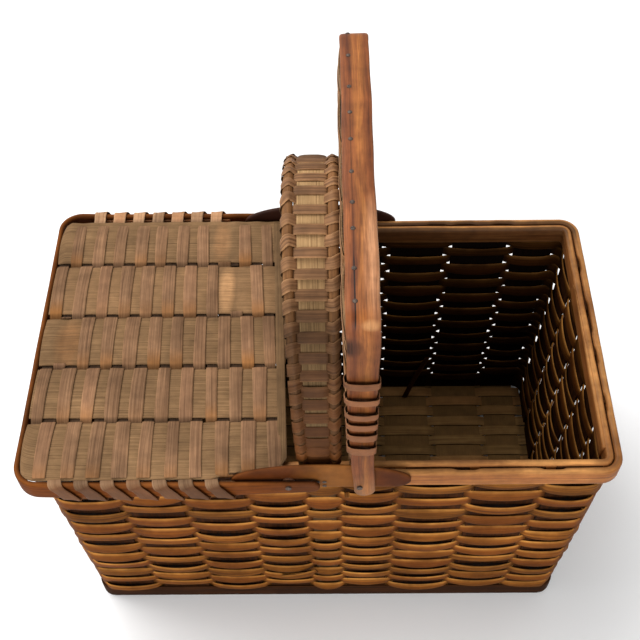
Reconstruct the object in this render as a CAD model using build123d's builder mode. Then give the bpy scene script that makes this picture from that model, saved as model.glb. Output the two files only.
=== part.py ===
from build123d import *
import math
import os

# Splint picnic basket, in millimetres. X runs along the basket, the front is
# at -Y, +Z is up, and the origin is the middle of the foot on the table.
# The left lid is closed and the right lid stands open against the handle.

# Body of the basket, measured over the rim
rim_length = 450.0
rim_width = 253.0
rim_height = 258.0
rim_corner = 16.0
wall_corner = 12.0
end_flare = 9.5
side_flare = 5.5

# Splints
weaver_thickness = 1.2
upright_thickness = 1.3
splint_gap = 0.05

# Rim hoops that pinch the top of the wall
hoop_depth = 18.0
hoop_thickness = 4.2
hoop_clearance = 0.3
upright_below_rim = 2.0

# Foot band and courses of weavers
foot_band_height = 18.0
foot_band_thickness = 1.8
course_count = 22
course_step = 0.5
course_clearance = 0.3

# Columns of uprights at the rim, left to right: the narrow one is under the handle
side_column_widths = (49.0, 51.5, 51.5, 45.0, 27.5, 45.0, 56.0, 57.0, 42.5)
handle_column_index = 4
side_column_end_gap = 8.0
end_column_count = 5
end_column_end_gap = 9.0
upright_gap = 8.0
upright_foot = 0.6
upright_lean = 4.5

# Floor: strips along the basket, over and under the splints that cross it
floor_strip_count = 19
floor_strip_gap = 0.65
floor_strip_end_gap = 4.35
floor_strip_thickness = 1.0
floor_clearance = 0.2

# Carrying handle: a flat band between two rods, bound by wraps
handle_foot_x = -3.6
handle_rise = 163.0
handle_crown_radius = 95.0
band_thickness = 2.0
band_foot_width = 15.0
band_top_width = 23.0
band_top_x = -8.3
rod_radius = 3.8
rod_foot_gap = 0.2
rod_top_gap = 0.5
rod_lift = 0.3
wrap_count = 34
wrap_width = 8.4
wrap_thickness = 0.8
wrap_clearance = 0.3
wrap_first = 0.022

# Ear boards nailed outside the rim, which carry the lids' pivots
ear_length = 134.0
ear_x = -2.5
ear_rise = 18.5
ear_tip_drop = 4.0
ear_bottom_drop = 15.0
ear_end_slope = 12.0
ear_thickness = 3.0

# Pivots
left_pivot_x = -26.7
right_pivot_x = 26.0
pivot_drop = 2.7
pin_radius = 1.6
pin_running_gap = 0.05
pin_seat_gap = 0.02
pin_head_radius = 2.2
pin_head_height = 1.0
pin_head_gap = 0.2
washer_radius = 4.5
washer_thickness = 1.2
washer_gap = 1.6

# Nails
nail_head_radius = 1.5
nail_head_height = 0.6
nail_shank_radius = 0.7
ear_nail_spread = 5.0
ear_nail_drop = 5.0
ear_nail_pitch = 6.0
lid_nail_steps = (-116, -90, -58, -36, -9, 21, 47, 73, 97, 118)
lid_nail_corner_gap = 3.0
lid_nail_drop = 4.5
lid_nail_depth = 3.6

# Lids, drawn from their pivot: a bent hoop with a woven panel
lid_overhang = 8.2
lid_hoop_depth = 20.0
lid_hoop_thickness = 4.4
lid_corner = 14.0
lid_rest_gap = 0.3
lid_setback = 4.0
left_tail = 23.0
right_tail = 15.0
tail_depth = 12.5
tail_top_drop = 1.5
tail_taper_start = 52.0
tail_tip_radius = 5.0
open_lean = 2.1
panel_front_gap = 0.3
panel_back_gap = 4.7
lid_end_gap = 0.3
lid_splint_widths = (48.0, 50.5, 51.5, 55.5, 46.5)
lid_splint_gap = 1.2
lid_splint_thickness = 1.2
lid_weaver_thickness = 0.9
lid_weaver_count = 19
lid_weaver_gap = 0.5
lid_weaver_end_gap = 2.6
edge_splint_width = 8.5
edge_splint_gap = 0.95
first_lashed_weaver_index = 4
left_lashed_count = 7
right_lashed_count = 6
lashing_width = 9.0
lashing_thickness = 0.8
lashing_clearance = 0.1

os.makedirs("parts", exist_ok=True)


def save(part, name):
    """Label a finished piece and write it."""
    part.label = name
    export_step(part, f"parts/{name}.step")


# The wall's outer face, from the foot to the rim
wall_top_half_length = rim_length / 2 - hoop_thickness - hoop_clearance
wall_top_half_width = rim_width / 2 - hoop_thickness - hoop_clearance
wall_thickness = 2 * weaver_thickness + upright_thickness + 2 * splint_gap
hoop_bottom = rim_height - hoop_depth
upright_top = rim_height - upright_below_rim


def half_length(z, inset=0.0):
    """Half length of the wall's outer face at a height, less an inset."""
    return wall_top_half_length - end_flare * (1 - z / rim_height) - inset


def half_width(z, inset=0.0):
    """Half width of the wall's outer face at a height, less an inset."""
    return wall_top_half_width - side_flare * (1 - z / rim_height) - inset


def band_outline(at, outer_inset, thickness, corner=wall_corner):
    """A rounded rectangular band whose size is that of the wall at one height."""
    outer_corner = corner - outer_inset
    long_side, short_side = half_length(at, outer_inset), half_width(at, outer_inset)
    RectangleRounded(2 * long_side, 2 * short_side, outer_corner)
    RectangleRounded(
        2 * (long_side - thickness),
        2 * (short_side - thickness),
        outer_corner - thickness,
        mode=Mode.SUBTRACT,
    )


# Foot band: one wide splint round the bottom
with BuildPart() as foot_band:
    band_proud = foot_band_thickness - weaver_thickness
    with BuildSketch(Plane.XY):
        band_outline(foot_band_height, -band_proud, foot_band_thickness)
    extrude(amount=foot_band_height)
save(foot_band.part, "foot_band")

# Courses of the woven wall, which stand in and out by turns
courses_bottom = foot_band_height
course_height = (hoop_bottom - course_clearance - courses_bottom) / course_count
with BuildPart() as outer_weavers:
    for course in range(course_count):
        course_z = courses_bottom + course * course_height
        course_top = course_z + course_height
        inset = course_step * (course % 2)
        with BuildSketch(Plane.XY.offset(course_z)):
            band_outline(course_top, inset, weaver_thickness - inset)
    extrude(amount=course_height)
save(outer_weavers.part, "outer_weavers")

inner_face = wall_thickness - weaver_thickness
with BuildPart() as inner_weavers:
    for course in range(course_count):
        course_z = courses_bottom + course * course_height
        inset = course_step * ((course + 1) % 2)
        with BuildSketch(Plane.XY.offset(course_z)):
            band_outline(course_z, inner_face, weaver_thickness - inset)
    extrude(amount=course_height)
save(inner_weavers.part, "inner_weavers")

# Uprights stand between the two layers of weavers
upright_inset = weaver_thickness + splint_gap
upright_inner = upright_inset + upright_thickness
floor_splint_bottom = floor_strip_thickness
floor_splint_top = floor_splint_bottom + upright_thickness


def upright_profile(half_size, side, top=upright_top, bottom=upright_foot):
    """Side view of one upright, leaning out with the wall."""
    corners = [
        (side * half_size(bottom, upright_inset), bottom),
        (side * half_size(top, upright_inset), top),
        (side * half_size(top, upright_inner), top),
        (side * half_size(bottom, upright_inner), bottom),
    ]
    Polygon(*corners, align=None)


side_columns_half = wall_top_half_length - side_column_end_gap
end_columns_half = wall_top_half_width - end_column_end_gap


def upright_edges(widths, half_span):
    """Left and right edges at the rim of the uprights whose columns fill a span."""
    fit = 2 * half_span / sum(widths)
    edges = []
    left = -half_span
    for width in widths:
        edges.append((left + upright_gap / 2, left + width * fit - upright_gap / 2))
        left += width * fit
    return edges


def fan_outlines(edges, half_size, lean=0.0, top=upright_top):
    """Face views of uprights, which fan out towards the rim as the wall flares.

    The feet of those in the middle stand to the right of their tops by the lean.
    """
    foot_share = half_size(0) / half_size(rim_height)
    top_share = half_size(top) / half_size(rim_height)
    for left, right in edges:
        shift = lean * math.cos(math.pi * (left + right) / 4 / half_size(rim_height))
        Polygon(
            (left * foot_share + shift, 0),
            (right * foot_share + shift, 0),
            (right * top_share, top),
            (left * top_share, top),
            align=None,
        )


side_uprights = upright_edges(side_column_widths, side_columns_half)
middle_upright = side_uprights.pop(handle_column_index)
end_uprights = upright_edges([1] * end_column_count, end_columns_half)

# Cross splints: each goes up the front, under the floor and up the back in one piece
with BuildPart() as cross_splints:
    with BuildSketch(Plane.YZ):
        foot_y = half_width(floor_splint_bottom, upright_inset)
        top_y = half_width(upright_top, upright_inset)
        inner_foot_y = half_width(floor_splint_top, upright_inner)
        inner_top_y = half_width(upright_top, upright_inner)
        Polygon(
            (-top_y, upright_top),
            (-foot_y, floor_splint_bottom),
            (foot_y, floor_splint_bottom),
            (top_y, upright_top),
            (inner_top_y, upright_top),
            (inner_foot_y, floor_splint_top),
            (-inner_foot_y, floor_splint_top),
            (-inner_top_y, upright_top),
            align=None,
        )
    extrude(amount=rim_length / 2, both=True)
    with BuildSketch(Plane.XZ):
        fan_outlines(side_uprights, half_length, upright_lean)
    extrude(amount=rim_width / 2, both=True, mode=Mode.INTERSECT)
save(cross_splints.part, "cross_splints")

for side, name in ((-1, "left_uprights"), (1, "right_uprights")):
    with BuildPart() as wall_uprights:
        with BuildSketch(Plane.XZ):
            upright_profile(half_length, side)
        extrude(amount=rim_width / 2, both=True)
        with BuildSketch(Plane.YZ):
            fan_outlines(end_uprights, half_width)
        extrude(amount=rim_length / 2, both=True, mode=Mode.INTERSECT)
    save(wall_uprights.part, name)

# Floor: a narrow splint under the handle, and strips that go over and under it all
floor_half_width = half_width(upright_foot, upright_inner + floor_clearance)
floor_half_length = half_length(upright_foot, upright_inner + floor_clearance)
with BuildPart() as middle_floor_splint:
    with BuildSketch(Plane.YZ):
        with Locations((0, (floor_splint_bottom + floor_splint_top) / 2)):
            Rectangle(2 * floor_half_width, upright_thickness)
    extrude(amount=rim_length / 2, both=True)
    with BuildSketch(Plane.XZ):
        fan_outlines([middle_upright], half_length, upright_lean)
    extrude(amount=rim_width / 2, both=True, mode=Mode.INTERSECT)
save(middle_floor_splint.part, "middle_floor_splint")

strips_span = 2 * (floor_half_width - floor_strip_end_gap)
floor_strip_pitch = (strips_span + floor_strip_gap) / floor_strip_count
with BuildPart() as floor_strips:
    for number in range(floor_strip_count):
        strip_y = (number - (floor_strip_count - 1) / 2) * floor_strip_pitch
        with BuildSketch(Plane.XY.offset(0 if number % 2 else floor_splint_top)):
            with Locations((0, strip_y)):
                Rectangle(2 * floor_half_length, floor_strip_pitch - floor_strip_gap)
    extrude(amount=floor_strip_thickness)
save(floor_strips.part, "floor_strips")

# Ear boards: lens shaped above the rim, with two pivot holes and four nails
pivot_z = rim_height - pivot_drop
pivot_xs = (left_pivot_x, right_pivot_x)
ear_outer = rim_width / 2 + ear_thickness
ear_nails = []
for row in range(2):
    for way in (-1, 1):
        nail_x = ear_x + way * ear_nail_spread / 2
        nail_z = rim_height - ear_nail_drop - row * ear_nail_pitch
        ear_nails.append((nail_x, nail_z))


def across(side, y):
    """A plane that faces out of the front or the back, at a distance from the middle."""
    return Plane(origin=(0, side * y, 0), x_dir=(1, 0, 0), z_dir=(0, side, 0))


def on_face(side, points):
    """Places on such a plane, whose second axis points up on the front and down on the back."""
    return [(x, -side * z) for x, z in points]


for side, name in ((-1, "front_ear_board"), (1, "back_ear_board")):
    with BuildPart() as ear_board:
        with BuildSketch(across(side, rim_width / 2)):
            tip_z = rim_height - ear_tip_drop
            bottom_z = rim_height - ear_bottom_drop
            top_rise = ear_rise + ear_tip_drop
            middle, below, *lower_part = on_face(
                side,
                [
                    (ear_x, tip_z),
                    (ear_x, tip_z - top_rise),
                    (ear_x + ear_length / 2, tip_z),
                    (ear_x + ear_length / 2 - ear_end_slope, bottom_z),
                    (ear_x - ear_length / 2 + ear_end_slope, bottom_z),
                    (ear_x - ear_length / 2, tip_z),
                ],
            )
            with Locations(middle):
                Ellipse(ear_length / 2, top_rise)
            with Locations(below):
                Rectangle(ear_length, 2 * top_rise, mode=Mode.SUBTRACT)
            Polygon(*lower_part, align=None)
            with Locations(*on_face(side, [(x, pivot_z) for x in pivot_xs])):
                Circle(pin_radius + pin_seat_gap, mode=Mode.SUBTRACT)
            with Locations(*on_face(side, ear_nails)):
                Circle(nail_shank_radius + pin_seat_gap, mode=Mode.SUBTRACT)
        extrude(amount=ear_thickness)
    save(ear_board.part, name)

# Rim hoops
with BuildPart() as rim_outer_hoop:
    with BuildSketch(Plane.XY.offset(hoop_bottom)):
        RectangleRounded(rim_length, rim_width, rim_corner)
        RectangleRounded(
            rim_length - 2 * hoop_thickness,
            rim_width - 2 * hoop_thickness,
            rim_corner - hoop_thickness,
            mode=Mode.SUBTRACT,
        )
    extrude(amount=hoop_depth)
    for side in (-1, 1):
        with BuildSketch(across(side, rim_width / 2 - hoop_thickness)):
            with Locations(*on_face(side, ear_nails)):
                Circle(nail_shank_radius + pin_seat_gap)
        extrude(amount=hoop_thickness, mode=Mode.SUBTRACT)
save(rim_outer_hoop.part, "rim_outer_hoop")

inner_hoop_inset = wall_thickness + hoop_clearance
with BuildPart() as rim_inner_hoop:
    with BuildSketch(Plane.XY.offset(hoop_bottom)):
        band_outline(rim_height, inner_hoop_inset, hoop_thickness, rim_corner)
    extrude(amount=hoop_depth)
save(rim_inner_hoop.part, "rim_inner_hoop")

with BuildPart() as ear_board_nails:
    nail_length = ear_thickness + hoop_thickness
    for side in (-1, 1):
        with BuildSketch(across(side, ear_outer - nail_length)):
            with Locations(*on_face(side, ear_nails)):
                Circle(nail_shank_radius)
        extrude(amount=nail_length)
        with BuildSketch(across(side, ear_outer)):
            with Locations(*on_face(side, ear_nails)):
                Circle(nail_head_radius)
        extrude(amount=nail_head_height)
save(ear_board_nails.part, "ear_board_nails")

# Lid hoops pass outside the ears, on washers
lid_hoop_inner = ear_outer + washer_gap
lid_hoop_outer = lid_hoop_inner + lid_hoop_thickness

with BuildPart() as pivot_pins:
    for side in (-1, 1):
        pin_inner = rim_width / 2
        pin_places = on_face(side, [(x, pivot_z) for x in pivot_xs])
        head_seat = lid_hoop_outer + pin_head_gap
        with BuildSketch(across(side, pin_inner)):
            with Locations(*pin_places):
                Circle(pin_radius)
        extrude(amount=head_seat - pin_inner)
        with BuildSketch(across(side, head_seat)):
            with Locations(*pin_places):
                Circle(pin_head_radius)
        extrude(amount=pin_head_height)
save(pivot_pins.part, "pivot_pins")

with BuildPart() as pivot_washers:
    for side in (-1, 1):
        with BuildSketch(across(side, ear_outer)):
            with Locations(*on_face(side, [(x, pivot_z) for x in pivot_xs])):
                Circle(washer_radius)
                Circle(pin_radius + pin_seat_gap, mode=Mode.SUBTRACT)
        extrude(amount=washer_thickness)
save(pivot_washers.part, "pivot_washers")


def arch(half_span, rise, crown_radius):
    """A pot-shaped arch on the sketch's origin: two long side arcs that meet a crown arc."""
    side_radius = (half_span**2 + (rise - crown_radius) ** 2 - crown_radius**2) / (
        2 * (half_span - crown_radius)
    )
    turn = math.degrees(math.atan2(rise - crown_radius, side_radius - half_span))
    CenterArc((half_span - side_radius, 0), side_radius, 0, turn)
    CenterArc((0, rise - crown_radius), crown_radius, turn, 180 - 2 * turn)
    CenterArc((side_radius - half_span, 0), side_radius, 180 - turn, turn)


# Handle's feet, which take the middle upright's place in the wall
with BuildPart() as handle_feet:
    for side in (-1, 1):
        with BuildSketch(Plane.YZ):
            upright_profile(half_width, side, top=rim_height)
        extrude(amount=rim_length / 2, both=True)
    with BuildSketch(Plane.XZ):
        fan_outlines([middle_upright], half_length, upright_lean, rim_height)
    extrude(amount=rim_width / 2, both=True, mode=Mode.INTERSECT)

# Handle's flat middle band: an arch over the rim on those feet
band_half_span = half_width(rim_height, upright_inset)
band_inner_span = band_half_span - band_thickness
band_left = min(handle_foot_x - band_foot_width / 2, band_top_x - band_top_width / 2)
band_right = max(handle_foot_x + band_foot_width / 2, band_top_x + band_top_width / 2)
with BuildPart() as handle_centre_band:
    band_plane = Plane(origin=(band_left, 0, rim_height), x_dir=(0, 1, 0), z_dir=(1, 0, 0))
    with BuildSketch(band_plane):
        with BuildLine():
            arch(band_half_span, handle_rise, handle_crown_radius)
            arch(
                band_inner_span,
                handle_rise - band_thickness,
                handle_crown_radius - band_thickness,
            )
            Line((band_inner_span, 0), (band_half_span, 0))
            Line((-band_inner_span, 0), (-band_half_span, 0))
        make_face()
    extrude(amount=band_right - band_left)
    with BuildSketch(Plane.XZ):
        band_taper = [
            (handle_foot_x - band_foot_width / 2, rim_height),
            (handle_foot_x + band_foot_width / 2, rim_height),
            (band_top_x + band_top_width / 2, rim_height + handle_rise),
            (band_top_x - band_top_width / 2, rim_height + handle_rise),
        ]
        with BuildLine():
            Polyline(band_taper, close=True)
        make_face()
    extrude(amount=rim_width, both=True, mode=Mode.INTERSECT)
    add(handle_feet.part)
save(handle_centre_band.part, "handle_centre_band")

# Round rods on each side of the band, standing on the rim hoops
rod_half_span = band_half_span - band_thickness / 2
rod_rise = handle_rise - band_thickness / 2
rod_crown_radius = handle_crown_radius - band_thickness / 2
rod_feet_x = {}
rod_tops_x = {}
for way, name in ((-1, "handle_left_rod"), (1, "handle_right_rod")):
    rod_feet_x[way] = handle_foot_x + way * (band_foot_width / 2 + rod_foot_gap + rod_radius)
    rod_tops_x[way] = band_top_x + way * (band_top_width / 2 + rod_top_gap + rod_radius)
    lean = rod_tops_x[way] - rod_feet_x[way]
    rod_plane = Plane(
        origin=(rod_feet_x[way], 0, rim_height + rod_lift),
        x_dir=(0, 1, 0),
        z_dir=(rod_rise, 0, -lean),
    )
    with BuildPart() as rod:
        with BuildLine(rod_plane) as rod_path:
            arch(rod_half_span, math.hypot(rod_rise, lean), rod_crown_radius)
        rod_wire = rod_path.wire()
        with BuildSketch(Plane(origin=rod_wire @ 0, z_dir=rod_wire % 0)):
            Circle(rod_radius)
        sweep(path=rod_wire)
    save(rod.part, name)

# Wraps bind the band and the rods together
wrap_foot = Plane(origin=(0, 0, rim_height + rod_lift), x_dir=(0, 1, 0), z_dir=(1, 0, 0))
with BuildLine(wrap_foot) as wrap_path:
    arch(rod_half_span, rod_rise, rod_crown_radius)
wrap_wire = wrap_path.wire()
with BuildPart() as handle_wraps:
    for number in range(wrap_count):
        share = wrap_first + (1 - 2 * wrap_first) * number / (wrap_count - 1)
        centre = wrap_wire @ share
        height_share = (centre.Z - wrap_foot.origin.Z) / rod_rise
        left, right = (
            rod_feet_x[way]
            + (rod_tops_x[way] - rod_feet_x[way]) * height_share
            + way * (rod_radius + wrap_clearance)
            for way in (-1, 1)
        )
        inside = (right - left, 2 * (rod_radius + wrap_clearance))
        wrap_plane = Plane(origin=centre, x_dir=(1, 0, 0), z_dir=wrap_wire % share)
        with BuildSketch(wrap_plane):
            with Locations(((left + right) / 2, 0)):
                Rectangle(inside[0] + 2 * wrap_thickness, inside[1] + 2 * wrap_thickness)
                Rectangle(inside[0], inside[1], mode=Mode.SUBTRACT)
    extrude(amount=wrap_width / 2, both=True)
save(handle_wraps.part, "handle_wraps")

# Lengths in a lid, from its pivot towards its far end
lid_reach = rim_length / 2 + left_pivot_x + lid_overhang
splint_end = lid_reach - lid_hoop_thickness - lid_end_gap
weavers_start = lid_setback + edge_splint_width + edge_splint_gap
weavers_span = splint_end - lid_weaver_end_gap - weavers_start
lid_weaver_pitch = (weavers_span + lid_weaver_gap) / lid_weaver_count
lid_weaver_width = lid_weaver_pitch - lid_weaver_gap

# Heights in a lid, from its pivot towards its top
panel_bottom = rim_height + lid_rest_gap - pivot_z
splint_bottom = panel_bottom + lid_weaver_thickness
splint_top = splint_bottom + lid_splint_thickness
lid_hoop_bottom = splint_top - lid_hoop_depth
panel_front = rim_width / 2 - panel_front_gap
panel_back = rim_width / 2 - panel_back_gap
panel_width = panel_front + panel_back
splint_fit = panel_width / sum(lid_splint_widths)
lashing_inner = lid_hoop_inner - lashing_clearance - lashing_thickness


def make_lid(name, hinge, front, tail, lashed_count):
    """One lid on its hinge plane, whose first axis runs to the lid's far end.

    front is +1 where the plane's second axis points to the basket's front.
    """
    side_plane = Plane(origin=hinge.origin, x_dir=hinge.x_dir, z_dir=-hinge.y_dir)
    end_plane = Plane(
        origin=hinge.origin + hinge.x_dir * lid_reach,
        x_dir=hinge.y_dir,
        z_dir=hinge.x_dir,
    )
    panel_y = front * (panel_front - panel_back) / 2
    lid_splints_across = []
    edge_y = front * panel_front
    for width in lid_splint_widths:
        lid_splints_across.append((edge_y - front * width * splint_fit / 2, width * splint_fit))
        edge_y -= front * width * splint_fit
    nail_fit = (lid_hoop_outer - lid_corner - lid_nail_corner_gap) / max(lid_nail_steps)
    nail_places = [(-front * step * nail_fit, splint_top - lid_nail_drop) for step in lid_nail_steps]
    first_weaver_x = weavers_start + lid_weaver_width / 2
    weaver_xs = [first_weaver_x + lid_weaver_pitch * n for n in range(lid_weaver_count)]
    lashed_xs = weaver_xs[first_lashed_weaver_index::2][:lashed_count]

    with BuildPart() as lid_hoop:
        with BuildSketch(hinge.offset(lid_hoop_bottom)) as outside:
            with Locations(((lid_reach - tail) / 2, 0)):
                Rectangle(lid_reach + tail, 2 * lid_hoop_outer)
            fillet(outside.vertices().group_by(Axis.X)[-1], lid_corner)
        extrude(amount=lid_hoop_depth)
        with BuildSketch(hinge.offset(lid_hoop_bottom)) as inside:
            with Locations(((lid_reach - lid_hoop_thickness - tail) / 2, 0)):
                Rectangle(lid_reach - lid_hoop_thickness + tail, 2 * lid_hoop_inner)
            fillet(inside.vertices().group_by(Axis.X)[-1], lid_corner - lid_hoop_thickness)
        extrude(amount=lid_hoop_depth, mode=Mode.SUBTRACT)
        with BuildSketch(side_plane) as side_view:
            with BuildLine():
                Polyline(
                    (-tail, splint_top - tail_top_drop),
                    (tail_taper_start, splint_top),
                    (lid_reach, splint_top),
                    (lid_reach, lid_hoop_bottom),
                    (tail_taper_start, lid_hoop_bottom),
                    (-tail, splint_top - tail_top_drop - tail_depth),
                    close=True,
                )
            make_face()
            fillet(side_view.vertices().group_by(Axis.X)[0], tail_tip_radius)
        extrude(amount=lid_hoop_outer, both=True, mode=Mode.INTERSECT)
        with BuildSketch(side_plane):
            Circle(pin_radius + pin_running_gap)
        extrude(amount=lid_hoop_outer, both=True, mode=Mode.SUBTRACT)
        with BuildSketch(end_plane):
            with Locations(*nail_places):
                Circle(nail_shank_radius + pin_seat_gap)
        extrude(amount=-lid_nail_depth, mode=Mode.SUBTRACT)
    save(lid_hoop.part, f"{name}_hoop")

    with BuildPart() as lid_nails:
        with BuildSketch(end_plane):
            with Locations(*nail_places):
                Circle(nail_shank_radius)
        extrude(amount=-lid_nail_depth)
        with BuildSketch(end_plane):
            with Locations(*nail_places):
                Circle(nail_head_radius)
        extrude(amount=nail_head_height)
    save(lid_nails.part, f"{name}_nails")

    with BuildPart() as lid_splints:
        with BuildSketch(hinge.offset(splint_bottom)):
            for y, width in lid_splints_across:
                with Locations(((lid_setback + splint_end) / 2, y)):
                    Rectangle(splint_end - lid_setback, width - lid_splint_gap)
            RectangleRounded(
                2 * splint_end,
                2 * (lid_hoop_inner - lid_end_gap),
                lid_corner - lid_hoop_thickness - lid_end_gap,
                mode=Mode.INTERSECT,
            )
        extrude(amount=lid_splint_thickness)
    save(lid_splints.part, f"{name}_splints")

    with BuildPart() as lid_weavers:
        for number, x in enumerate(weaver_xs):
            lashed = x in lashed_xs
            height = panel_bottom if number % 2 else splint_top
            with BuildSketch(hinge.offset(height)):
                with Locations((x, 0 if lashed else panel_y)):
                    Rectangle(lid_weaver_width, 2 * lashing_inner if lashed else panel_width)
        extrude(amount=lid_weaver_thickness)
    save(lid_weavers.part, f"{name}_weavers")

    with BuildPart() as lid_edge_splint:
        with BuildSketch(hinge.offset(splint_top)):
            with Locations((lid_setback + edge_splint_width / 2, panel_y)):
                Rectangle(edge_splint_width, panel_width)
        extrude(amount=lid_weaver_thickness)
    save(lid_edge_splint.part, f"{name}_edge_splint")

    with BuildPart() as lid_lashings:
        loop_y = (lid_hoop_inner + lid_hoop_outer) / 2
        loop_z = splint_top - lid_hoop_depth / 2
        loop_size = (
            lid_hoop_thickness + 2 * lashing_clearance,
            lid_hoop_depth + 2 * lashing_clearance,
        )
        for x in lashed_xs:
            loop_plane = Plane(
                origin=hinge.origin + hinge.x_dir * x, x_dir=hinge.y_dir, z_dir=hinge.x_dir
            )
            with BuildSketch(loop_plane):
                with Locations((-loop_y, loop_z), (loop_y, loop_z)):
                    Rectangle(*[size + 2 * lashing_thickness for size in loop_size])
                    Rectangle(*loop_size, mode=Mode.SUBTRACT)
        extrude(amount=lashing_width / 2, both=True)
    save(lid_lashings.part, f"{name}_lashings")


closed_hinge = Plane(origin=(left_pivot_x, 0, pivot_z), x_dir=(-1, 0, 0), z_dir=(0, 0, 1))
lean_sine = math.sin(math.radians(open_lean))
lean_cosine = math.cos(math.radians(open_lean))
open_hinge = Plane(
    origin=(right_pivot_x, 0, pivot_z),
    x_dir=(-lean_sine, 0, lean_cosine),
    z_dir=(-lean_cosine, 0, -lean_sine),
)
make_lid("left_lid", closed_hinge, 1, left_tail, left_lashed_count)
make_lid("right_lid", open_hinge, -1, right_tail, right_lashed_count)
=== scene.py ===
import math
import random

import bpy
import numpy as np
from bpy.props import FloatProperty, FloatVectorProperty, IntProperty, PointerProperty
from mathutils import Matrix, Vector


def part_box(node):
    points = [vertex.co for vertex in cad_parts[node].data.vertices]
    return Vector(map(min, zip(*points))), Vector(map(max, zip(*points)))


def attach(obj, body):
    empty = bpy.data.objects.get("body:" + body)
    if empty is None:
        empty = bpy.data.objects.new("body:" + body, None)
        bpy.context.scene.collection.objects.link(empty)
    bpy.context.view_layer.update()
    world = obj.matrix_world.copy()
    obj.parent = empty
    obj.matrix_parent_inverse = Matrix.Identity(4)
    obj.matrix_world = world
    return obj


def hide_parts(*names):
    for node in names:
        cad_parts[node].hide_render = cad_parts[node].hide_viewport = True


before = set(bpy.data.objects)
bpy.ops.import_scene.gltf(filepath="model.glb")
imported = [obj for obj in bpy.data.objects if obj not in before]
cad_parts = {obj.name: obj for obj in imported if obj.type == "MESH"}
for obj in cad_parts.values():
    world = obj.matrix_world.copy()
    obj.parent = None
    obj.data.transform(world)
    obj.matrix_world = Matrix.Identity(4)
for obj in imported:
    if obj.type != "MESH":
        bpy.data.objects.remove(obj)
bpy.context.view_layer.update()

bl_info = {
    "name": "Splint Picnic Basket",
    "version": (1, 0, 0),
    "blender": (4, 5, 0),
    "location": "View3D > Sidebar > Basket",
    "description": "Weaves a splint basket with two hinged lids round its packed frame",
    "category": "Add Mesh",
}

# Everything is in metres, in the frame's own axes: front at -Y, +Z up
MM = 0.001
UP, LEFT, BACK = (0.0, 0.0, 1.0), (-1.0, 0.0, 0.0), (0.0, 1.0, 0.0)

# The wall, read from the frame
rim_low, rim_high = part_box("rim_outer_hoop")
foot_low, foot_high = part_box("foot_band")
inner_low, inner_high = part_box("rim_inner_hoop")
HOOP_THICKNESS = 4.2 * MM
HOOP_GAP = 0.3 * MM
WALL_TOP_HALF_LENGTH = rim_high.x - HOOP_THICKNESS - HOOP_GAP
WALL_TOP_HALF_WIDTH = rim_high.y - HOOP_THICKNESS - HOOP_GAP
END_FLARE = 9.5 * MM
SIDE_FLARE = 5.5 * MM
WALL_THICKNESS = 3.8 * MM
WALL_CORNER = 12 * MM
RIM_CORNER = 16 * MM
RIM_DEPTH = 2 * (HOOP_THICKNESS + HOOP_GAP) + WALL_THICKNESS
RIM_WAVER = 0.25 * MM
SIDE_COLUMNS = (49.0, 51.5, 51.5, 45.0, 27.5, 45.0, 56.0, 57.0, 42.5)
SIDE_SPAN = WALL_TOP_HALF_LENGTH - 8 * MM
END_COLUMNS = (1.0,) * 5
END_SPAN = WALL_TOP_HALF_WIDTH - 9 * MM
UPRIGHT_LEAN = 4.5 * MM
UPRIGHT_THICKNESS = 1.3 * MM
COURSE_STEPS = 520

# The floor
FLOOR_STRIPS = 19
FLOOR_HALF_SPAN = 112.3 * MM
FLOOR_MIDDLE = 1.65 * MM

# Where the rim's two hoops stand apart, in mm, and how far
SLIT_DEPTH = 1.5 * MM
RIM_SLITS = (
    (106, -121), (171, -121), (101, 121), (125, 121), (159, 121), (218, 75), (218, 28), (218, 12),
    (218, -19), (218, -64), (-60, 121), (-150, 121), (-218, 40), (-218, -30), (-120, -121), (-180, -121),
)

# The handle's two rods and the band between them
ROD_RADIUS = 3.8 * MM
BAND_THICKNESS = 2.0 * MM

# The lids, read from the closed one
pivots = {"left_lid": Vector((-26.7, 0, 255.3)) * MM, "right_lid": Vector((26.0, 0, 255.3)) * MM}
hoop_low, hoop_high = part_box("left_lid_hoop")
panel_low, panel_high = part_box("left_lid_splints")
LID_REACH = pivots["left_lid"].x - hoop_low.x
LID_OUTER = hoop_high.y
LID_TOP = hoop_high.z - pivots["left_lid"].z
LID_BOTTOM = hoop_low.z - pivots["left_lid"].z
LID_THICKNESS = 4.4 * MM
LID_TAIL_DROP = 1.5 * MM
LID_SETBACK = 4 * MM
LID_PANEL_END = LID_REACH - LID_THICKNESS - 0.9 * MM
LID_ROWS = (48.0, 50.5, 51.5, 55.5, 46.5)
LID_NAILS = (-119, -94, -62, -40, -13, 17, 43, 69, 102)
LID_NAIL_DROP = 6 * MM
OPEN_LEAN = math.radians(2.1)
# Height at which a lid's weavers cross, and how far over or under it they lie on a splint
GAP_HEIGHT, OVER, UNDER = 4.6 * MM, 1.25 * MM, 1.1 * MM
# A row's splint starts this far behind the row's front edge and ends this far before its back edge
ROW_FRONT, ROW_BACK = 1.0 * MM, 3.5 * MM
# Places round a row's edge at which a weaver bends
NEAR_EDGE = MM * np.array((
    -16.0, -11.0, -7.5, -5.4, -4.4, -3.8, -3.0, -2.3, -1.6, -0.8, 0.0, 0.8, 1.5, 2.4, 3.8, 6, 10, 15,
))
# Broken weavers of the closed lid: row's edge and mm past it where one part ends, and where the next starts
BROKEN_WEAVERS = {3: ((3, 2), (4, -2)), 4: ((4, 1),), 18: ((2, 2), (3, -3))}

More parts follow.
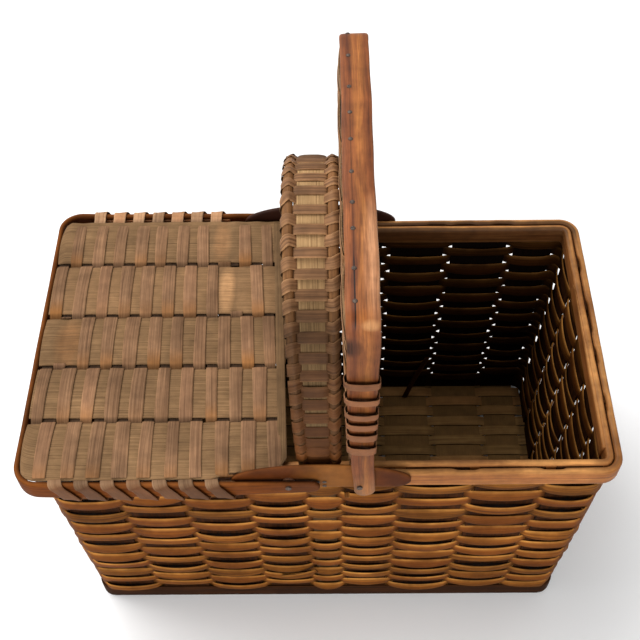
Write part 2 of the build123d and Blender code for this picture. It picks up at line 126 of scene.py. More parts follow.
# Cross sections of splints: places across the width, and the thickness there
FLAT = ((-0.5, 0.4), (-0.4, 1.0), (0.4, 1.0), (0.5, 0.4))
ROUND_EDGED = (
    (-0.5, 0.25), (-0.48, 0.62), (-0.44, 0.88), (-0.36, 1.0),
    (0.36, 1.0), (0.44, 0.88), (0.48, 0.62), (0.5, 0.25),
)
BROAD = (
    (-0.5, 0.3), (-0.47, 0.9), (-0.35, 1.0), (-0.2, 1.0), (0.0, 1.0), (0.2, 1.0), (0.35, 1.0), (0.47, 0.9),
    (0.5, 0.3),
)
ROD = tuple((-math.cos(math.pi * k / 8) / 2, math.sin(math.pi * k / 8)) for k in range(9))


def linear(colour):
    """A colour given as it looks on a screen, 0 to 255, in the numbers that shaders take."""
    shares = (c / 255 for c in colour)
    return (*(c / 12.92 if c <= 0.04045 else ((c + 0.055) / 1.055) ** 2.4 for c in shares), 1.0)


def unit(vectors):
    """Vectors, one to a row, made one long."""
    return vectors / np.maximum(np.linalg.norm(vectors, axis=1, keepdims=True), 1e-12)


def uneven(hand, count, low, high):
    """That many of the hand's random numbers between two."""
    return np.array([hand.uniform(low, high) for _ in range(count)])


def read_corners(mesh):
    """The places of a mesh's corners, one to a row."""
    corners = np.zeros(len(mesh.vertices) * 3)
    mesh.vertices.foreach_get("co", corners)
    return corners.reshape(-1, 3)


blanks = {}


def splint_blank(steps, section, closed):
    """A straight splint of unit size along X, cut once and copied for each like one."""
    key = (steps, section, closed)
    if key not in blanks:
        bpy.ops.object.select_all(action="DESELECT")
        rows = len(section) - 1
        bpy.ops.mesh.primitive_grid_add(x_subdivisions=steps, y_subdivisions=rows, size=1)
        blank = bpy.context.object
        thickness = blank.modifiers.new("Thickness", "SOLIDIFY")
        thickness.thickness = 1
        thickness.offset = 0
        bpy.ops.object.modifier_apply(modifier=thickness.name)
        if closed:
            bpy.ops.object.mode_set(mode="EDIT")
            bpy.ops.mesh.select_all(action="DESELECT")
            bpy.ops.object.mode_set(mode="OBJECT")
            for face in blank.data.polygons:
                face.select = abs(face.normal.x) > 0.9
            bpy.ops.object.mode_set(mode="EDIT")
            bpy.ops.mesh.select_mode(type="FACE")
            bpy.ops.mesh.delete(type="ONLY_FACE")
            bpy.ops.object.mode_set(mode="OBJECT")
        places = np.array(section)
        corners = read_corners(blank.data)
        row = np.rint((corners[:, 1] + 0.5) * rows).astype(int)
        corners[:, 1] = places[row, 0]
        corners[:, 2] = np.sign(corners[:, 2]) * places[row, 1] / 2
        blank.data.vertices.foreach_set("co", corners.ravel())
        blanks[key] = blank.data
        bpy.data.objects.remove(blank)
    return blanks[key].copy()


def bend_splint(name, points, sides, width, thickness, section=FLAT, closed=False, tone=0.5, crown=1.0,
                tint=0.0, camber=0.0, keep_sides=False):
    """A splint of that width and thickness bent along points, its width lying along sides.

    Its outer face is on the side of the path's direction crossed with sides, and camber
    is how far the middle of its width stands out of its edges there. The sides are turned
    square to the path, unless they are to be kept.
    """
    points = np.asarray(points, float)
    sides = np.broadcast_to(np.asarray(sides, float), points.shape)
    steps = len(points) - 1
    if closed:
        ahead = np.roll(points[:-1], -1, axis=0) - np.roll(points[:-1], 1, axis=0)
        ahead = np.vstack([ahead, ahead[:1]])
    else:
        ahead = np.gradient(points, axis=0)
    ahead = unit(ahead)
    if not keep_sides:
        sides = unit(sides - ahead * np.sum(sides * ahead, axis=1, keepdims=True))
    normals = unit(np.cross(ahead, sides))
    along = np.concatenate([[0], np.cumsum(np.linalg.norm(np.diff(points, axis=0), axis=1))])

    mesh = splint_blank(steps, section, closed)
    mesh.name = name
    flat = read_corners(mesh)
    station = np.rint((flat[:, 0] + 0.5) * steps).astype(int)
    width, thickness, crown, tint, camber = (
        np.broadcast_to(value, steps + 1)[station] for value in (width, thickness, crown, tint, camber)
    )
    across = flat[:, 1] * width
    depth = flat[:, 2] * thickness + camber * (1 - (2 * flat[:, 1]) ** 2)
    placed = points[station] + sides[station] * across[:, None] + normals[station] * depth[:, None]
    mesh.vertices.foreach_set("co", placed.ravel())

    corner = np.zeros(len(mesh.loops), int)
    mesh.loops.foreach_get("vertex_index", corner)
    shift = 7.13 * tone
    laid_out = np.stack([along[station][corner] + shift, across[corner] + 3 * shift], axis=1)
    mesh.uv_layers[0].name = "UVMap"
    mesh.uv_layers[0].data.foreach_set("uv", laid_out.ravel())
    facts = {
        "tone": np.full(len(flat), tone), "across": 2 * flat[:, 1], "face": np.sign(flat[:, 2]),
        "crown": crown, "tint": tint,
    }
    for fact, values in facts.items():
        mesh.attributes.new(fact, "FLOAT", "POINT").data.foreach_set("value", values)
    mesh.shade_smooth()
    piece = bpy.data.objects.new(name, mesh)
    bpy.context.scene.collection.objects.link(piece)
    return piece


def join_splints(name, pieces):
    """One object from several, with doubled points merged."""
    bpy.ops.object.select_all(action="DESELECT")
    for piece in pieces:
        piece.select_set(True)
    bpy.context.view_layer.objects.active = pieces[0]
    if len(pieces) > 1:
        bpy.ops.object.join()
    joined = bpy.context.object
    joined.name = joined.data.name = name
    bpy.ops.object.mode_set(mode="EDIT")
    bpy.ops.mesh.select_all(action="SELECT")
    bpy.ops.mesh.remove_doubles(threshold=0.004 * MM)
    bpy.ops.mesh.normals_make_consistent(inside=False)
    bpy.ops.object.mode_set(mode="OBJECT")
    return joined


def dress(piece, wood, body, slot, *nodes):
    """Finish a piece, let it ride on its body and let it stand for its nodes."""
    piece.data.materials.clear()
    piece.data.materials.append(finish(wood))
    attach(piece, body)
    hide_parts(*nodes)


def smooth_path(corners, steps):
    """A smooth line through some points, with that many steps between each two."""
    corners = np.asarray(corners, float)
    padded = np.vstack([2 * corners[0] - corners[1], corners, 2 * corners[-1] - corners[-2]])
    t = (np.arange(steps) / steps)[:, None]
    runs = [
        0.5 * (
            2 * start + (end - before) * t + (2 * before - 5 * start + 4 * end - after) * t**2
            + (3 * start - before - 3 * end + after) * t**3
        )
        for before, start, end, after in zip(padded, padded[1:], padded[2:], padded[3:])
    ]
    return np.vstack([*runs, corners[-1]])


def half_length(z):
    """Half length of the wall's outer face at a height."""
    return WALL_TOP_HALF_LENGTH - END_FLARE * (1 - z / rim_high.z)


def half_width(z):
    """Half width of the wall's outer face at a height."""
    return WALL_TOP_HALF_WIDTH - SIDE_FLARE * (1 - z / rim_high.z)


def column_edges(widths, half_span):
    """Places between columns that fill a span, from its low end to its high end."""
    return half_span * (2 * np.cumsum(widths)[:-1] / sum(widths) - 1)


def side_edges(z):
    """Places between the columns of a long side at a height, where the uprights lean to the right."""
    top = column_edges(SIDE_COLUMNS, SIDE_SPAN)
    lean = UPRIGHT_LEAN * np.cos(np.pi * top / 2 / rim_high.x) * (1 - z / rim_high.z)
    return top * half_length(z) / WALL_TOP_HALF_LENGTH + lean


class Round:
    """A rounded rectangle, walked anticlockwise from the middle of its right side."""

    def __init__(self, half_x, half_y, corner):
        self.corner, self.inner_x, self.inner_y = corner, half_x - corner, half_y - corner
        turn, x, y = math.pi / 2 * corner, self.inner_x, self.inner_y
        self.marks = np.cumsum((0, y, turn, 2 * x, turn, 2 * y, turn, 2 * x, turn, y))
        self.length = self.marks[-1]
        self.middles = (self.marks[1:-1] + self.marks[2:]) / 2

    def walk(self, distances):
        """Points and outward directions at distances along it."""
        place = distances % self.length
        angle = np.radians(np.interp(place, self.marks, (0, 0, 90, 90, 180, 180, 270, 270, 360, 360)))
        outward = np.column_stack([np.cos(angle), np.sin(angle)])
        centre = np.column_stack([
            self.inner_x * np.interp(place, self.marks, (1, 1, 1, -1, -1, -1, -1, 1, 1, 1)),
            self.inner_y * np.interp(place, self.marks, (0, 1, 1, 1, 1, -1, -1, -1, -1, 0)),
        ])
        return centre + self.corner * outward, outward


def wall_crossings(outline, z):
    """Distances along an outline where weavers pass between two uprights, in order."""
    side = side_edges(z)
    end = column_edges(END_COLUMNS, END_SPAN) * half_width(z) / WALL_TOP_HALF_WIDTH
    corner_1, back, corner_2, left, corner_3, front, corner_4 = outline.middles[:7]
    return np.concatenate([
        end[end >= 0], [corner_1], back - side[::-1], [corner_2], left - end[::-1],
        [corner_3], front + side, [corner_4], outline.length + end[end < 0],
    ])


def over_and_under(distances, crossings, length, flatness):
    """How far a weaver stands out: 1 over a column, -1 behind the next, 0 in between.

    Also gives the column that each distance lies in.
    """
    ring = np.append(crossings, crossings[0] + length)
    place = np.where(distances < crossings[0], distances + length, distances)
    column = np.clip(np.searchsorted(ring, place, side="right") - 1, 0, len(crossings) - 1)
    share = (place - ring[column]) / (ring[column + 1] - ring[column])
    swing = np.sin(np.pi * np.clip(share, 0, 1)) ** flatness
    return np.where(column % 2 == 0, swing, -swing), column


class Nodes:
    """The shader nodes of a tree, made and joined as they are asked for."""

    def __init__(self, tree):
        self.tree = tree

    def put(self, socket, value):
        """Join a socket to another one, or give it a value."""
        if isinstance(value, bpy.types.NodeSocket):
            self.tree.links.new(value, socket)
        else:
            socket.default_value = value

    def add(self, kind, *inputs, **settings):
        """A node. Its inputs are for its first sockets in order, and in_Name is for the one of that name."""
        made = self.tree.nodes.new("ShaderNode" + kind)
        for key, value in settings.items():
            if key.startswith("in_"):
                self.put(made.inputs[key[3:].replace("_", " ")], value)
            else:
                setattr(made, key, value)
        for socket, value in zip(made.inputs, inputs):
            self.put(socket, value)
        return made

    def fact(self, name):
        """A number that each point of a splint carries."""
        return self.add("Attribute", attribute_name=name).outputs["Fac"]

    def ramp(self, value, *stops):
        """Colours along a value."""
        made = self.add("ValToRGB", value)
        elements = made.color_ramp.elements
        while len(elements) < len(stops):
            elements.new(0.5)
        for element, (place, colour) in zip(elements, stops):
            element.position, element.color = place, colour
        return made.outputs["Color"]

    def mix(self, share, under, over, kind="MIX"):
        """One colour over another by a share."""
        made = self.add("Mix", data_type="RGBA", blend_type=kind)
        for place, value in ((0, share), (6, under), (7, over)):
            self.put(made.inputs[place], value)
        return made.outputs[2]

    def maths(self, operation, *values):
        """A number worked out from others."""
        return self.add("Math", *values, operation=operation).outputs[0]

    def times(self, product, *values):
        """The product of some numbers."""
        for value in values:
            product = self.maths("MULTIPLY", product, value)
        return product

    def vectors(self, operation, output, *values):
        """A vector or a number worked out from vectors."""
        return self.add("VectorMath", *values, operation=operation).outputs[output]

    def spread(self, value, low, high, to_low=0.0, to_high=1.0):
        """A value moved from one range to another, and held inside it."""
        return self.add("MapRange", value, low, high, to_low, to_high, clamp=True).outputs["Result"]

    def noise(self, place, scale, detail, rough, distortion=0.0, location=(0, 0, 0)):
        """Noise drawn out along one direction, as grain is."""
        drawn_out = self.add("Mapping", in_Vector=place, in_Scale=scale, in_Location=location).outputs[0]
        return self.add(
            "TexNoise", in_Vector=drawn_out, in_Scale=1.0, in_Detail=detail, in_Roughness=rough,
            in_Distortion=distortion,
        ).outputs["Fac"]

    def surface(self, shader, colour, roughness, height, strength, depth):
        """Give a shader its colour, its roughness and a relief."""
        bump = self.add("Bump", in_Strength=strength, in_Distance=depth, in_Height=height).outputs["Normal"]
        for name, value in (("Base Color", colour), ("Roughness", roughness), ("Normal", bump)):
            self.put(shader.inputs[name], value)


def new_material(name):
    """A material, its nodes and its shader."""
    material = bpy.data.materials.new(name)
    material.use_nodes = True
    return material, Nodes(material.node_tree), material.node_tree.nodes["Principled BSDF"]


def splint_finish(name, colours, surface, solid_across=None, ends=None, scuffs=(), back_shade=1.0, floor=None,
                  streak=None, painted_edge_shadow=False, crack=False, gloss=0.1, darker_below=None, woven=False):
    """Old splint wood: fibres along it, a tone of its own for each splint, rubbed edges, dirty blotches and
    painted shade in the hollows; a woven splint has a painted highlight on its top edge and painted shade along
    its bottom edge.

    solid_across is the axis across the grain of a piece that carries no facts of its own,
    the shade inside and back_shade are painted shade on what faces inwards, deeper at the back of the
    basket, floor is the colour of the part that lies in the floor, streak is a colour along the middle,
    and the darkening below a height is given as a height, a greater height and the shade that the wood
    is darkened to below them, so that it is darker towards the bottom. crown is how far a splint stands
    out, or for woven ones how far it stands out of the outside; where it is low the wood takes painted
    shade. The painted edge shadow is a dark line along a splint's front edge.
    """
    dark, mid, light, red, worn_and_lit = (linear(colour) for colour in colours)
    roughness, inner_shade, edge_wear_and_highlight, dirt_and_hollow_shade, fibre, grain_across = surface
    material, n, shader = new_material(name)
    shader.inputs["Specular IOR Level"].default_value = gloss
    coordinate = n.add("TexCoord")
    object_place = coordinate.outputs["Object"]
    x, y, z = n.add("SeparateXYZ", object_place).outputs
    if solid_across:
        side, other = (x, y) if solid_across == "x" else (y, x)
        place = n.add("CombineXYZ", n.maths("ADD", other, z), side).outputs["Vector"]
    else:
        place = n.add("UVMap", uv_map="UVMap").outputs["UV"]
    tone, across = n.fact("tone"), n.fact("across")

    grain = n.noise(place, (9, grain_across, 1), 5, 0.62, 0.4)
    fibres = n.noise(place, (45, grain_across * 5, 1), 3, 0.7)
    blotches = n.noise(object_place, (22, 22, 22), 4, 0.6)
    mottle = n.noise(object_place, (95, 95, 95), 3, 0.6, 0.0, (3, 1, 2))

    colour = n.ramp(grain, (0.28, dark), (0.5, mid), (0.74, light))
    colour = n.mix(n.spread(tone, 0.45, 1.0, 0.0, 0.75), colour, red)
    shade = n.times(
        n.spread(tone, 0.0, 0.6, 0.72, 1.08),
        n.spread(fibres, 0.3, 0.7, 1 - 0.35 * fibre, 1 + 0.25 * fibre),
        n.spread(mottle, 0.3, 0.7, 0.86, 1.12),
        n.spread(blotches, 0.32, 0.68, 1 - 0.45 * dirt_and_hollow_shade, 1.1),
    )
    if solid_across:
        flat = n.vectors("MULTIPLY", "Vector", object_place, (1, 1, 0))
        facing = n.vectors("DOT_PRODUCT", "Value", flat, coordinate.outputs["Normal"])
        inward = n.spread(facing, -0.03, -0.01, 1.0, 0.0)
    else:
        face, crown = n.fact("face"), n.fact("crown")
        inward = n.spread(face, -1.0, 1.0, 1.0, 0.0)
        if woven:
            # Painted shade where a woven splint lies behind an upright, and painted shade towards its bottom
            # edge
            outward = n.spread(n.times(crown, face), -0.5, 0.2, 1 - dirt_and_hollow_shade, 1.0)
            shade = n.times(shade, outward, n.spread(across, -1.0, 0.1, 0.62, 1.0))
            # Painted highlight along a woven splint's top edge
            worn_and_lit_edges = n.maths("POWER", n.maths("MAXIMUM", across, 0.0), 3.0)
        else:
            # Painted shade where the crown is low: in hollows, in slits and under other splints
            shade = n.times(shade, n.spread(crown, 0.0, 0.7, 1 - dirt_and_hollow_shade, 1.0))
            # Rubbed edges on both sides
            worn_and_lit_edges = n.maths("POWER", n.maths("ABSOLUTE", across), 6.0)
        colour = n.mix(n.times(worn_and_lit_edges, n.spread(blotches, 0.35, 0.6, 0.2, edge_wear_and_highlight)), colour, worn_and_lit)
    if ends:
        colour = n.mix(n.times(n.fact("tint"), 0.75), colour, linear(ends))
    # Painted shade on faces that point inwards, deeper towards the back of the basket
    inner = n.spread(y, 85 * MM, 112 * MM, inner_shade, inner_shade * back_shade)
    shade = n.times(shade, n.maths("SUBTRACT", 1.0, n.times(inward, n.maths("SUBTRACT", 1.0, inner))))
    if floor:
        colour = n.mix(n.spread(z, 3 * MM, 4 * MM, 1.0, 0.0), colour, linear(floor))
    # Darker towards the bottom, below a height
    if darker_below:
        low, high, darkest = darker_below
        shade = n.times(shade, n.spread(z, low * MM, high * MM, darkest, 1.0))
    # Painted shadow: a dark line along the front edge of a floor strip
    if painted_edge_shadow:
        shade = n.times(shade, n.spread(across, -0.95, -0.84, 0.08, 1.0))
    if streak:
        off = n.maths("ABSOLUTE", n.maths("SUBTRACT", across, -0.15))
        patches = n.spread(n.noise(place, (14, 160, 1), 3, 0.6, 0.6, (4, 7, 0)), 0.4, 0.6, 0.25, 1.0)
        colour = n.mix(n.times(n.spread(off, 0.1, 0.6, 0.8, 0.0), patches), colour, linear(streak))
    if crack:
        off = n.maths("ABSOLUTE", n.maths("SUBTRACT", x, CRACK_X))
        line = n.times(
            n.spread(off, 0.2 * MM, 0.7 * MM, 1.0, 0.0), n.spread(z, 452 * MM, 456 * MM),
            n.spread(y, -88 * MM, -80 * MM, 0.97, 0.45), n.spread(y, 40 * MM, 60 * MM, 1.0, 0.0),
        )
        shade = n.times(shade, n.maths("SUBTRACT", 1.0, line))
    for middle, reach, share, paint in scuffs:
        away = n.vectors("SUBTRACT", "Vector", object_place, Vector(middle) * MM)
        away = n.vectors("LENGTH", "Value", n.vectors("DIVIDE", "Vector", away, Vector(reach) * MM))
        near = n.times(n.spread(away, 0.45, 1.0, 1.0, 0.0), n.spread(grain, 0.3, 0.62, 0.1, share))
        colour = n.mix(near, colour, linear(paint))
    grey = n.add("CombineColor", shade, shade, shade).outputs["Color"]
    colour = n.mix(1.0, colour, grey, "MULTIPLY")
    roughness = n.spread(grain, 0.3, 0.7, roughness - 0.08, roughness + 0.12)
    n.surface(shader, colour, roughness, n.maths("ADD", n.times(fibres, 0.5), grain), 0.45, 0.35 * MM)
    return material


def metal_finish(name, bright, dull):
    """Dulled steel with a little rust."""
    material, n, shader = new_material(name)
    shader.inputs["Metallic"].default_value = 0.2
    patches = n.noise(n.add("TexCoord").outputs["Object"], (700, 700, 700), 4, 0.65)
    colour = n.ramp(patches, (0.35, linear(dull)), (0.62, linear(bright)))
    n.surface(shader, colour, n.spread(patches, 0.35, 0.7, 0.75, 0.5), patches, 0.4, 0.15 * MM)
    return material


CRACK_X = 19.35 * MM

# For each wood: its dark, middle, light, red and rubbed-edge colours (the last is also the painted highlight on
# a woven splint's top edge), then its roughness, painted shade on the inside, rubbing of the edges (a painted
# highlight of the top edge on woven splints), how dirty it is and how deep the painted shade in its hollows is,
# fibre and fineness of the grain, and then what it has of its own
WOODS = {
    "weaver_splint": (
        ((74, 39, 12), (123, 72, 25), (156, 98, 39), (106, 54, 19), (216, 150, 74)),
        (0.6, 0.54, 0.8, 0.72, 0.7, 420), {"back_shade": 0.35, "woven": True, "gloss": 0.04},
    ),
    # Colours darkened as painted shade: the uprights show only in the slits behind the weavers
    "upright_splint": (
        ((30, 14, 5), (56, 29, 11), (80, 44, 18), (54, 26, 11), (120, 70, 34)), (0.7, 0.3, 0.3, 0.5, 0.7, 420),
        {"solid_across": "x", "back_shade": 0.3, "floor": (150, 112, 67), "gloss": 0.04},
    ),
    # Colours darkened as painted shade: these uprights also show only in the slits behind the weavers
    "end_upright_splint": (
        ((36, 18, 7), (64, 34, 14), (90, 50, 22), (60, 30, 14), (120, 70, 34)), (0.7, 0.7, 0.3, 0.5, 0.7, 420),
        {"solid_across": "y", "gloss": 0.04},
    ),
    "foot_splint": (
        ((26, 13, 4), (48, 25, 9), (68, 37, 14), (44, 21, 8), (84, 48, 20)), (0.7, 0.5, 0.2, 0.5, 0.5, 420),
        {"gloss": 0.05},
    ),
    "floor_splint": (
        ((114, 83, 48), (152, 115, 69), (176, 137, 86), (168, 118, 70), (186, 148, 96)),
        (0.75, 0.8, 0.15, 0.4, 0.5, 420), {"painted_edge_shadow": True, "gloss": 0.05},
    ),
    "rim_wood": (
        ((100, 54, 22), (154, 93, 45), (188, 126, 68), (140, 78, 36), (212, 152, 88)),
        (0.5, 0.8, 0.7, 0.55, 0.9, 300), {"back_shade": 0.3, "gloss": 0.15},
    ),
    "ear_wood": (
        ((42, 17, 5), (70, 32, 9), (96, 48, 16), (68, 30, 9), (134, 78, 36)), (0.5, 0.7, 0.5, 0.35, 0.6, 240),
        {"ends": (136, 86, 38), "gloss": 0.06},
    ),
    # A darker copy of ear_wood: painted shade on the back board, which faces into the basket
    "dark_ear_wood": (
        ((22, 9, 5), (44, 19, 11), (66, 31, 17), (52, 23, 13), (88, 48, 27)), (0.45, 0.7, 0.4, 0.35, 0.5, 240),
        {"gloss": 0.15},
    ),
    "lid_standard": (
        ((98, 72, 47), (131, 100, 68), (156, 122, 86), (136, 100, 68), (144, 110, 76)),
        (0.75, 0.5, 0.3, 0.6, 1.0, 1100), {"scuffs": (
            ((-87.4, 98, 262), (9, 30, 12), 0.7, (184, 134, 90)),
            ((-81, 47, 262), (8, 28, 12), 0.9, (204, 154, 106)),
            ((-206, -8, 262), (14, 30, 12), 0.5, (160, 106, 62)),
        )},
    ),
    "lid_weaver": (
        ((100, 71, 49), (140, 104, 75), (168, 129, 96), (137, 98, 72), (180, 138, 99)),
        (0.7, 0.5, 0.45, 0.8, 0.9, 620), {"ends": (158, 104, 52), "gloss": 0.08},
    ),
    "lid_hoop_wood": (
        ((74, 33, 15), (124, 67, 35), (156, 92, 52), (122, 61, 30), (174, 112, 68)),
        (0.5, 0.7, 0.4, 0.5, 0.9, 200), {
            "ends": (166, 120, 82), "streak": (184, 116, 58), "crack": True, "gloss": 0.15,
            "darker_below": (438, 458, 0.68), "scuffs": (
                ((32, -88, 461), (9, 60, 20), 0.75, (210, 154, 112)),
                ((16.5, -136, 436), (9, 8, 11), 1.0, (50, 26, 12)),
                ((29, -134, 456), (7, 7, 4), 0.9, (206, 150, 96)),
            )},
    ),
    "left_hoop_wood": (
        ((62, 28, 8), (98, 50, 15), (126, 69, 26), (88, 42, 13), (144, 86, 38)), (0.6, 0.7, 0.5, 0.45, 0.8, 240),
        {"ends": (84, 47, 25), "gloss": 0.05},
    ),
    "handle_band_splint": (
        ((124, 94, 62), (172, 137, 95), (202, 164, 117), (156, 110, 68), (192, 154, 108)),
        (0.7, 0.7, 0.3, 0.35, 0.9, 900), {"ends": (78, 42, 16), "gloss": 0.05, "darker_below": (378, 415, 0.36)},
    ),
    "handle_wrap_splint": (
        ((86, 60, 40), (146, 105, 72), (182, 136, 96), (150, 100, 64), (212, 160, 110)),
        (0.6, 0.8, 0.8, 0.85, 0.8, 520), {"ends": (190, 106, 36), "darker_below": (378, 415, 0.36)},
    ),
    "handle_rod_wood": (
        ((84, 54, 30), (128, 88, 54), (154, 110, 70), (132, 80, 42), (172, 126, 80)),
        (0.6, 0.9, 0.2, 0.4, 0.6, 300), {"darker_below": (378, 415, 0.38)},
    ),
    "lashing_splint": (
        ((140, 102, 72), (190, 146, 108), (214, 170, 130), (172, 122, 84), (222, 178, 136)),
        (0.65, 0.5, 0.6, 0.6, 0.7, 520), {"ends": (118, 66, 31)},
    ),
    "right_lashing": (
        ((82, 50, 31), (128, 84, 56), (154, 107, 74), (126, 76, 46), (184, 134, 94)),
        (0.6, 0.35, 0.7, 0.75, 0.8, 520), {"ends": (142, 92, 60)},
    ),
}
METALS = {"nail_steel": ((84, 68, 56), (38, 26, 19)), "washer_dull": ((112, 70, 42), (60, 34, 20))}
finishes = {}


def finish(name):
    """The material of that name, mixed the first time that it is asked for."""
    if name not in finishes:
        if name in METALS:
            finishes[name] = metal_finish(name, *METALS[name])
        else:
            colours, surface, own = WOODS[name]
            finishes[name] = splint_finish(name, colours, surface, **own)
    return finishes[name]


class WallSettings(bpy.types.PropertyGroup):
    course_count: IntProperty(name="Courses", description="Rows of weavers up the wall", default=22, min=4)
    first_pitch: FloatProperty(
        name="Lowest pitch", description="Height of the lowest course", default=8.6 * MM, unit="LENGTH")
    weaver_thickness: FloatProperty(
        name="Weaver thickness", description="Thickness of a weaver", default=1.5 * MM, unit="LENGTH")
    weaver_share: FloatProperty(
        name="Weaver share", description="Share of its course that a weaver fills", default=0.99)
    bulge: FloatProperty(
        name="Bulge", description="How far a weaver stands off an upright that it passes", default=2.3 * MM,
        unit="LENGTH")
    seed: IntProperty(name="Seed", description="Start of the hand's unevenness", default=7)


class LidSettings(bpy.types.PropertyGroup):
    weaver_count: IntProperty(name="Weavers", description="Weavers across a lid", default=20, min=2)
    front_pitch: FloatProperty(
        name="Front pitch", description="From weaver to weaver at the front", default=9.7 * MM, unit="LENGTH")
    back_pitch: FloatProperty(
        name="Back pitch", description="From weaver to weaver at the back", default=8.95 * MM, unit="LENGTH")
    weaver_width: FloatProperty(
        name="Weaver width", description="Width of a lid's weaver", default=10.5 * MM, unit="LENGTH")
    weaver_thickness: FloatProperty(
        name="Weaver thickness", description="Thickness of a lid's weaver", default=0.9 * MM, unit="LENGTH")
    seed: IntProperty(name="Seed", description="Start of the hand's unevenness", default=11)


class HandleSettings(bpy.types.PropertyGroup):
    wrap_width: FloatProperty(
        name="Wrap width", description="Width of the splint that binds the handle", default=8.6 * MM,
        unit="LENGTH")
    wrap_thickness: FloatProperty(
        name="Wrap thickness", description="Thickness of that splint", default=0.9 * MM, unit="LENGTH")
    foot_pitch: FloatProperty(
        name="Pitch at the feet", description="From turn to turn near the rim", default=9.2 * MM, unit="LENGTH")
    crown_pitch: FloatProperty(
        name="Pitch at the top", description="From turn to turn on the crown", default=17.6 * MM,
        unit="LENGTH")
    seed: IntProperty(name="Seed", description="Start of the hand's unevenness", default=5)


class StageSettings(bpy.types.PropertyGroup):
    floor_colour: FloatVectorProperty(
        name="Floor colour", description="Colour of the plain floor", default=(0.88, 0.88, 0.88),
        subtype="COLOR", size=3)


def wall_course(number, low, pitch, settings, hand):
    """One weaver round the wall, in front of every other upright and behind those between."""
    z, inset = low + pitch / 2, WALL_THICKNESS / 2
    outline = Round(half_length(z) - inset, half_width(z) - inset, WALL_CORNER - inset)
    crossings = wall_crossings(outline, z)
    distances = np.linspace(0, outline.length, COURSE_STEPS + 1)
    swing, column = over_and_under(distances % outline.length, crossings, outline.length, 0.62)
    from_corner = np.min(np.abs(distances[:, None] - outline.middles[:7:2]), axis=1)
    swing = swing * (-1) ** number * np.clip((from_corner - 2 * MM) / (5 * MM), 0, 1)
    reach, columns = np.abs(swing), len(crossings)
    widths = np.diff(np.append(crossings, crossings[0] + outline.length))
    narrow = np.clip(widths / (48 * MM), 0.3, 1.1)
    stand = settings.bulge * uneven(hand, columns, 0.25, 1.5) * narrow
    stand = ((UPRIGHT_THICKNESS + settings.weaver_thickness) / 2 + stand)[column]
    offset = swing * stand * np.where(swing > 0, 1.0, 0.8)
    lift = (uneven(hand, columns, -0.9 * MM, 0.9 * MM) * narrow)[column] * reach
    points, outward = outline.walk(distances)
    placed = np.column_stack([points + outward * offset[:, None], z + lift])
    tilt = uneven(hand, columns, -0.22, 0.1)[column] * reach
    sides = np.column_stack([outward * tilt[:, None], np.ones(len(points))])
    fill = (uneven(hand, columns, 0.0, 0.34) + 0.25 * (widths < 30 * MM))[column] * reach
    at_corner = 0.2 * np.clip(1 - (from_corner - 8 * MM) / (6 * MM), 0, 1)
    height = pitch * settings.weaver_share * (1 + fill + at_corner)
    for values in (placed, sides, height, swing):
        values[-1] = values[0]
    # crown follows the swing, so the weaver takes painted shade where it passes behind an upright
    return bend_splint(
        f"course_{number}", placed, sides, height, settings.weaver_thickness, closed=True, tone=hand.random(),
        crown=swing,
    )


def loose_ends():
    """Broken splints: across the front wall, down the inside of the back, and a peg under the rim."""
    ends = (
        # two ends, width, a side, tone
        ((-39, -121.2, 52), (-8, -122.2, 68), 6, (0, 0, 1), 0.2),
        ((106, 111, 62), (85, 99, 5), 6, (1, 0.3, 0), 0.9),
        ((17, -125.4, 228), (17.6, -126.2, 221), 4, (1, 0, 0), 0.0),
    )
    share = np.linspace(0, 1, 9)[:, None]
    pieces = []
    for start, end, width, side, tone in ends:
        points = np.array(start) * (1 - share) + np.array(end) * share
        points[:, 1] += 1.2 * np.sin(math.pi * share[:, 0]) * np.sign(start[1])
        # The crown sets how much painted shade each piece takes; the pieces inside the back wall take -0.6
        crown = 1.0 if start[1] < 0 else -0.6
        pieces.append(bend_splint("loose_end", points * MM, side, width * MM, 1.1 * MM, tone=tone, crown=crown))
    return pieces


class BASKET_OT_weave_wall(bpy.types.Operator):
    """Weave the courses of the wall in front of and behind its uprights"""

    bl_idname = "basket.weave_wall"
    bl_label = "Weave the Wall"

    def execute(self, context):
        settings = context.scene.basket_wall
        hand = random.Random(settings.seed)
        low, count = foot_high.z, settings.course_count
        growth = 2 * ((rim_low.z - low) / count - settings.first_pitch) / (count - 1)
        courses = []
        for number in range(count):
            pitch = settings.first_pitch + growth * number
            courses.append(wall_course(number, low, pitch, settings, hand))
            low += pitch
        weave = join_splints("woven_wall", courses + loose_ends())
        dress(weave, "weaver_splint", "root", "wall_splint", "outer_weavers", "inner_weavers")
        return {"FINISHED"}


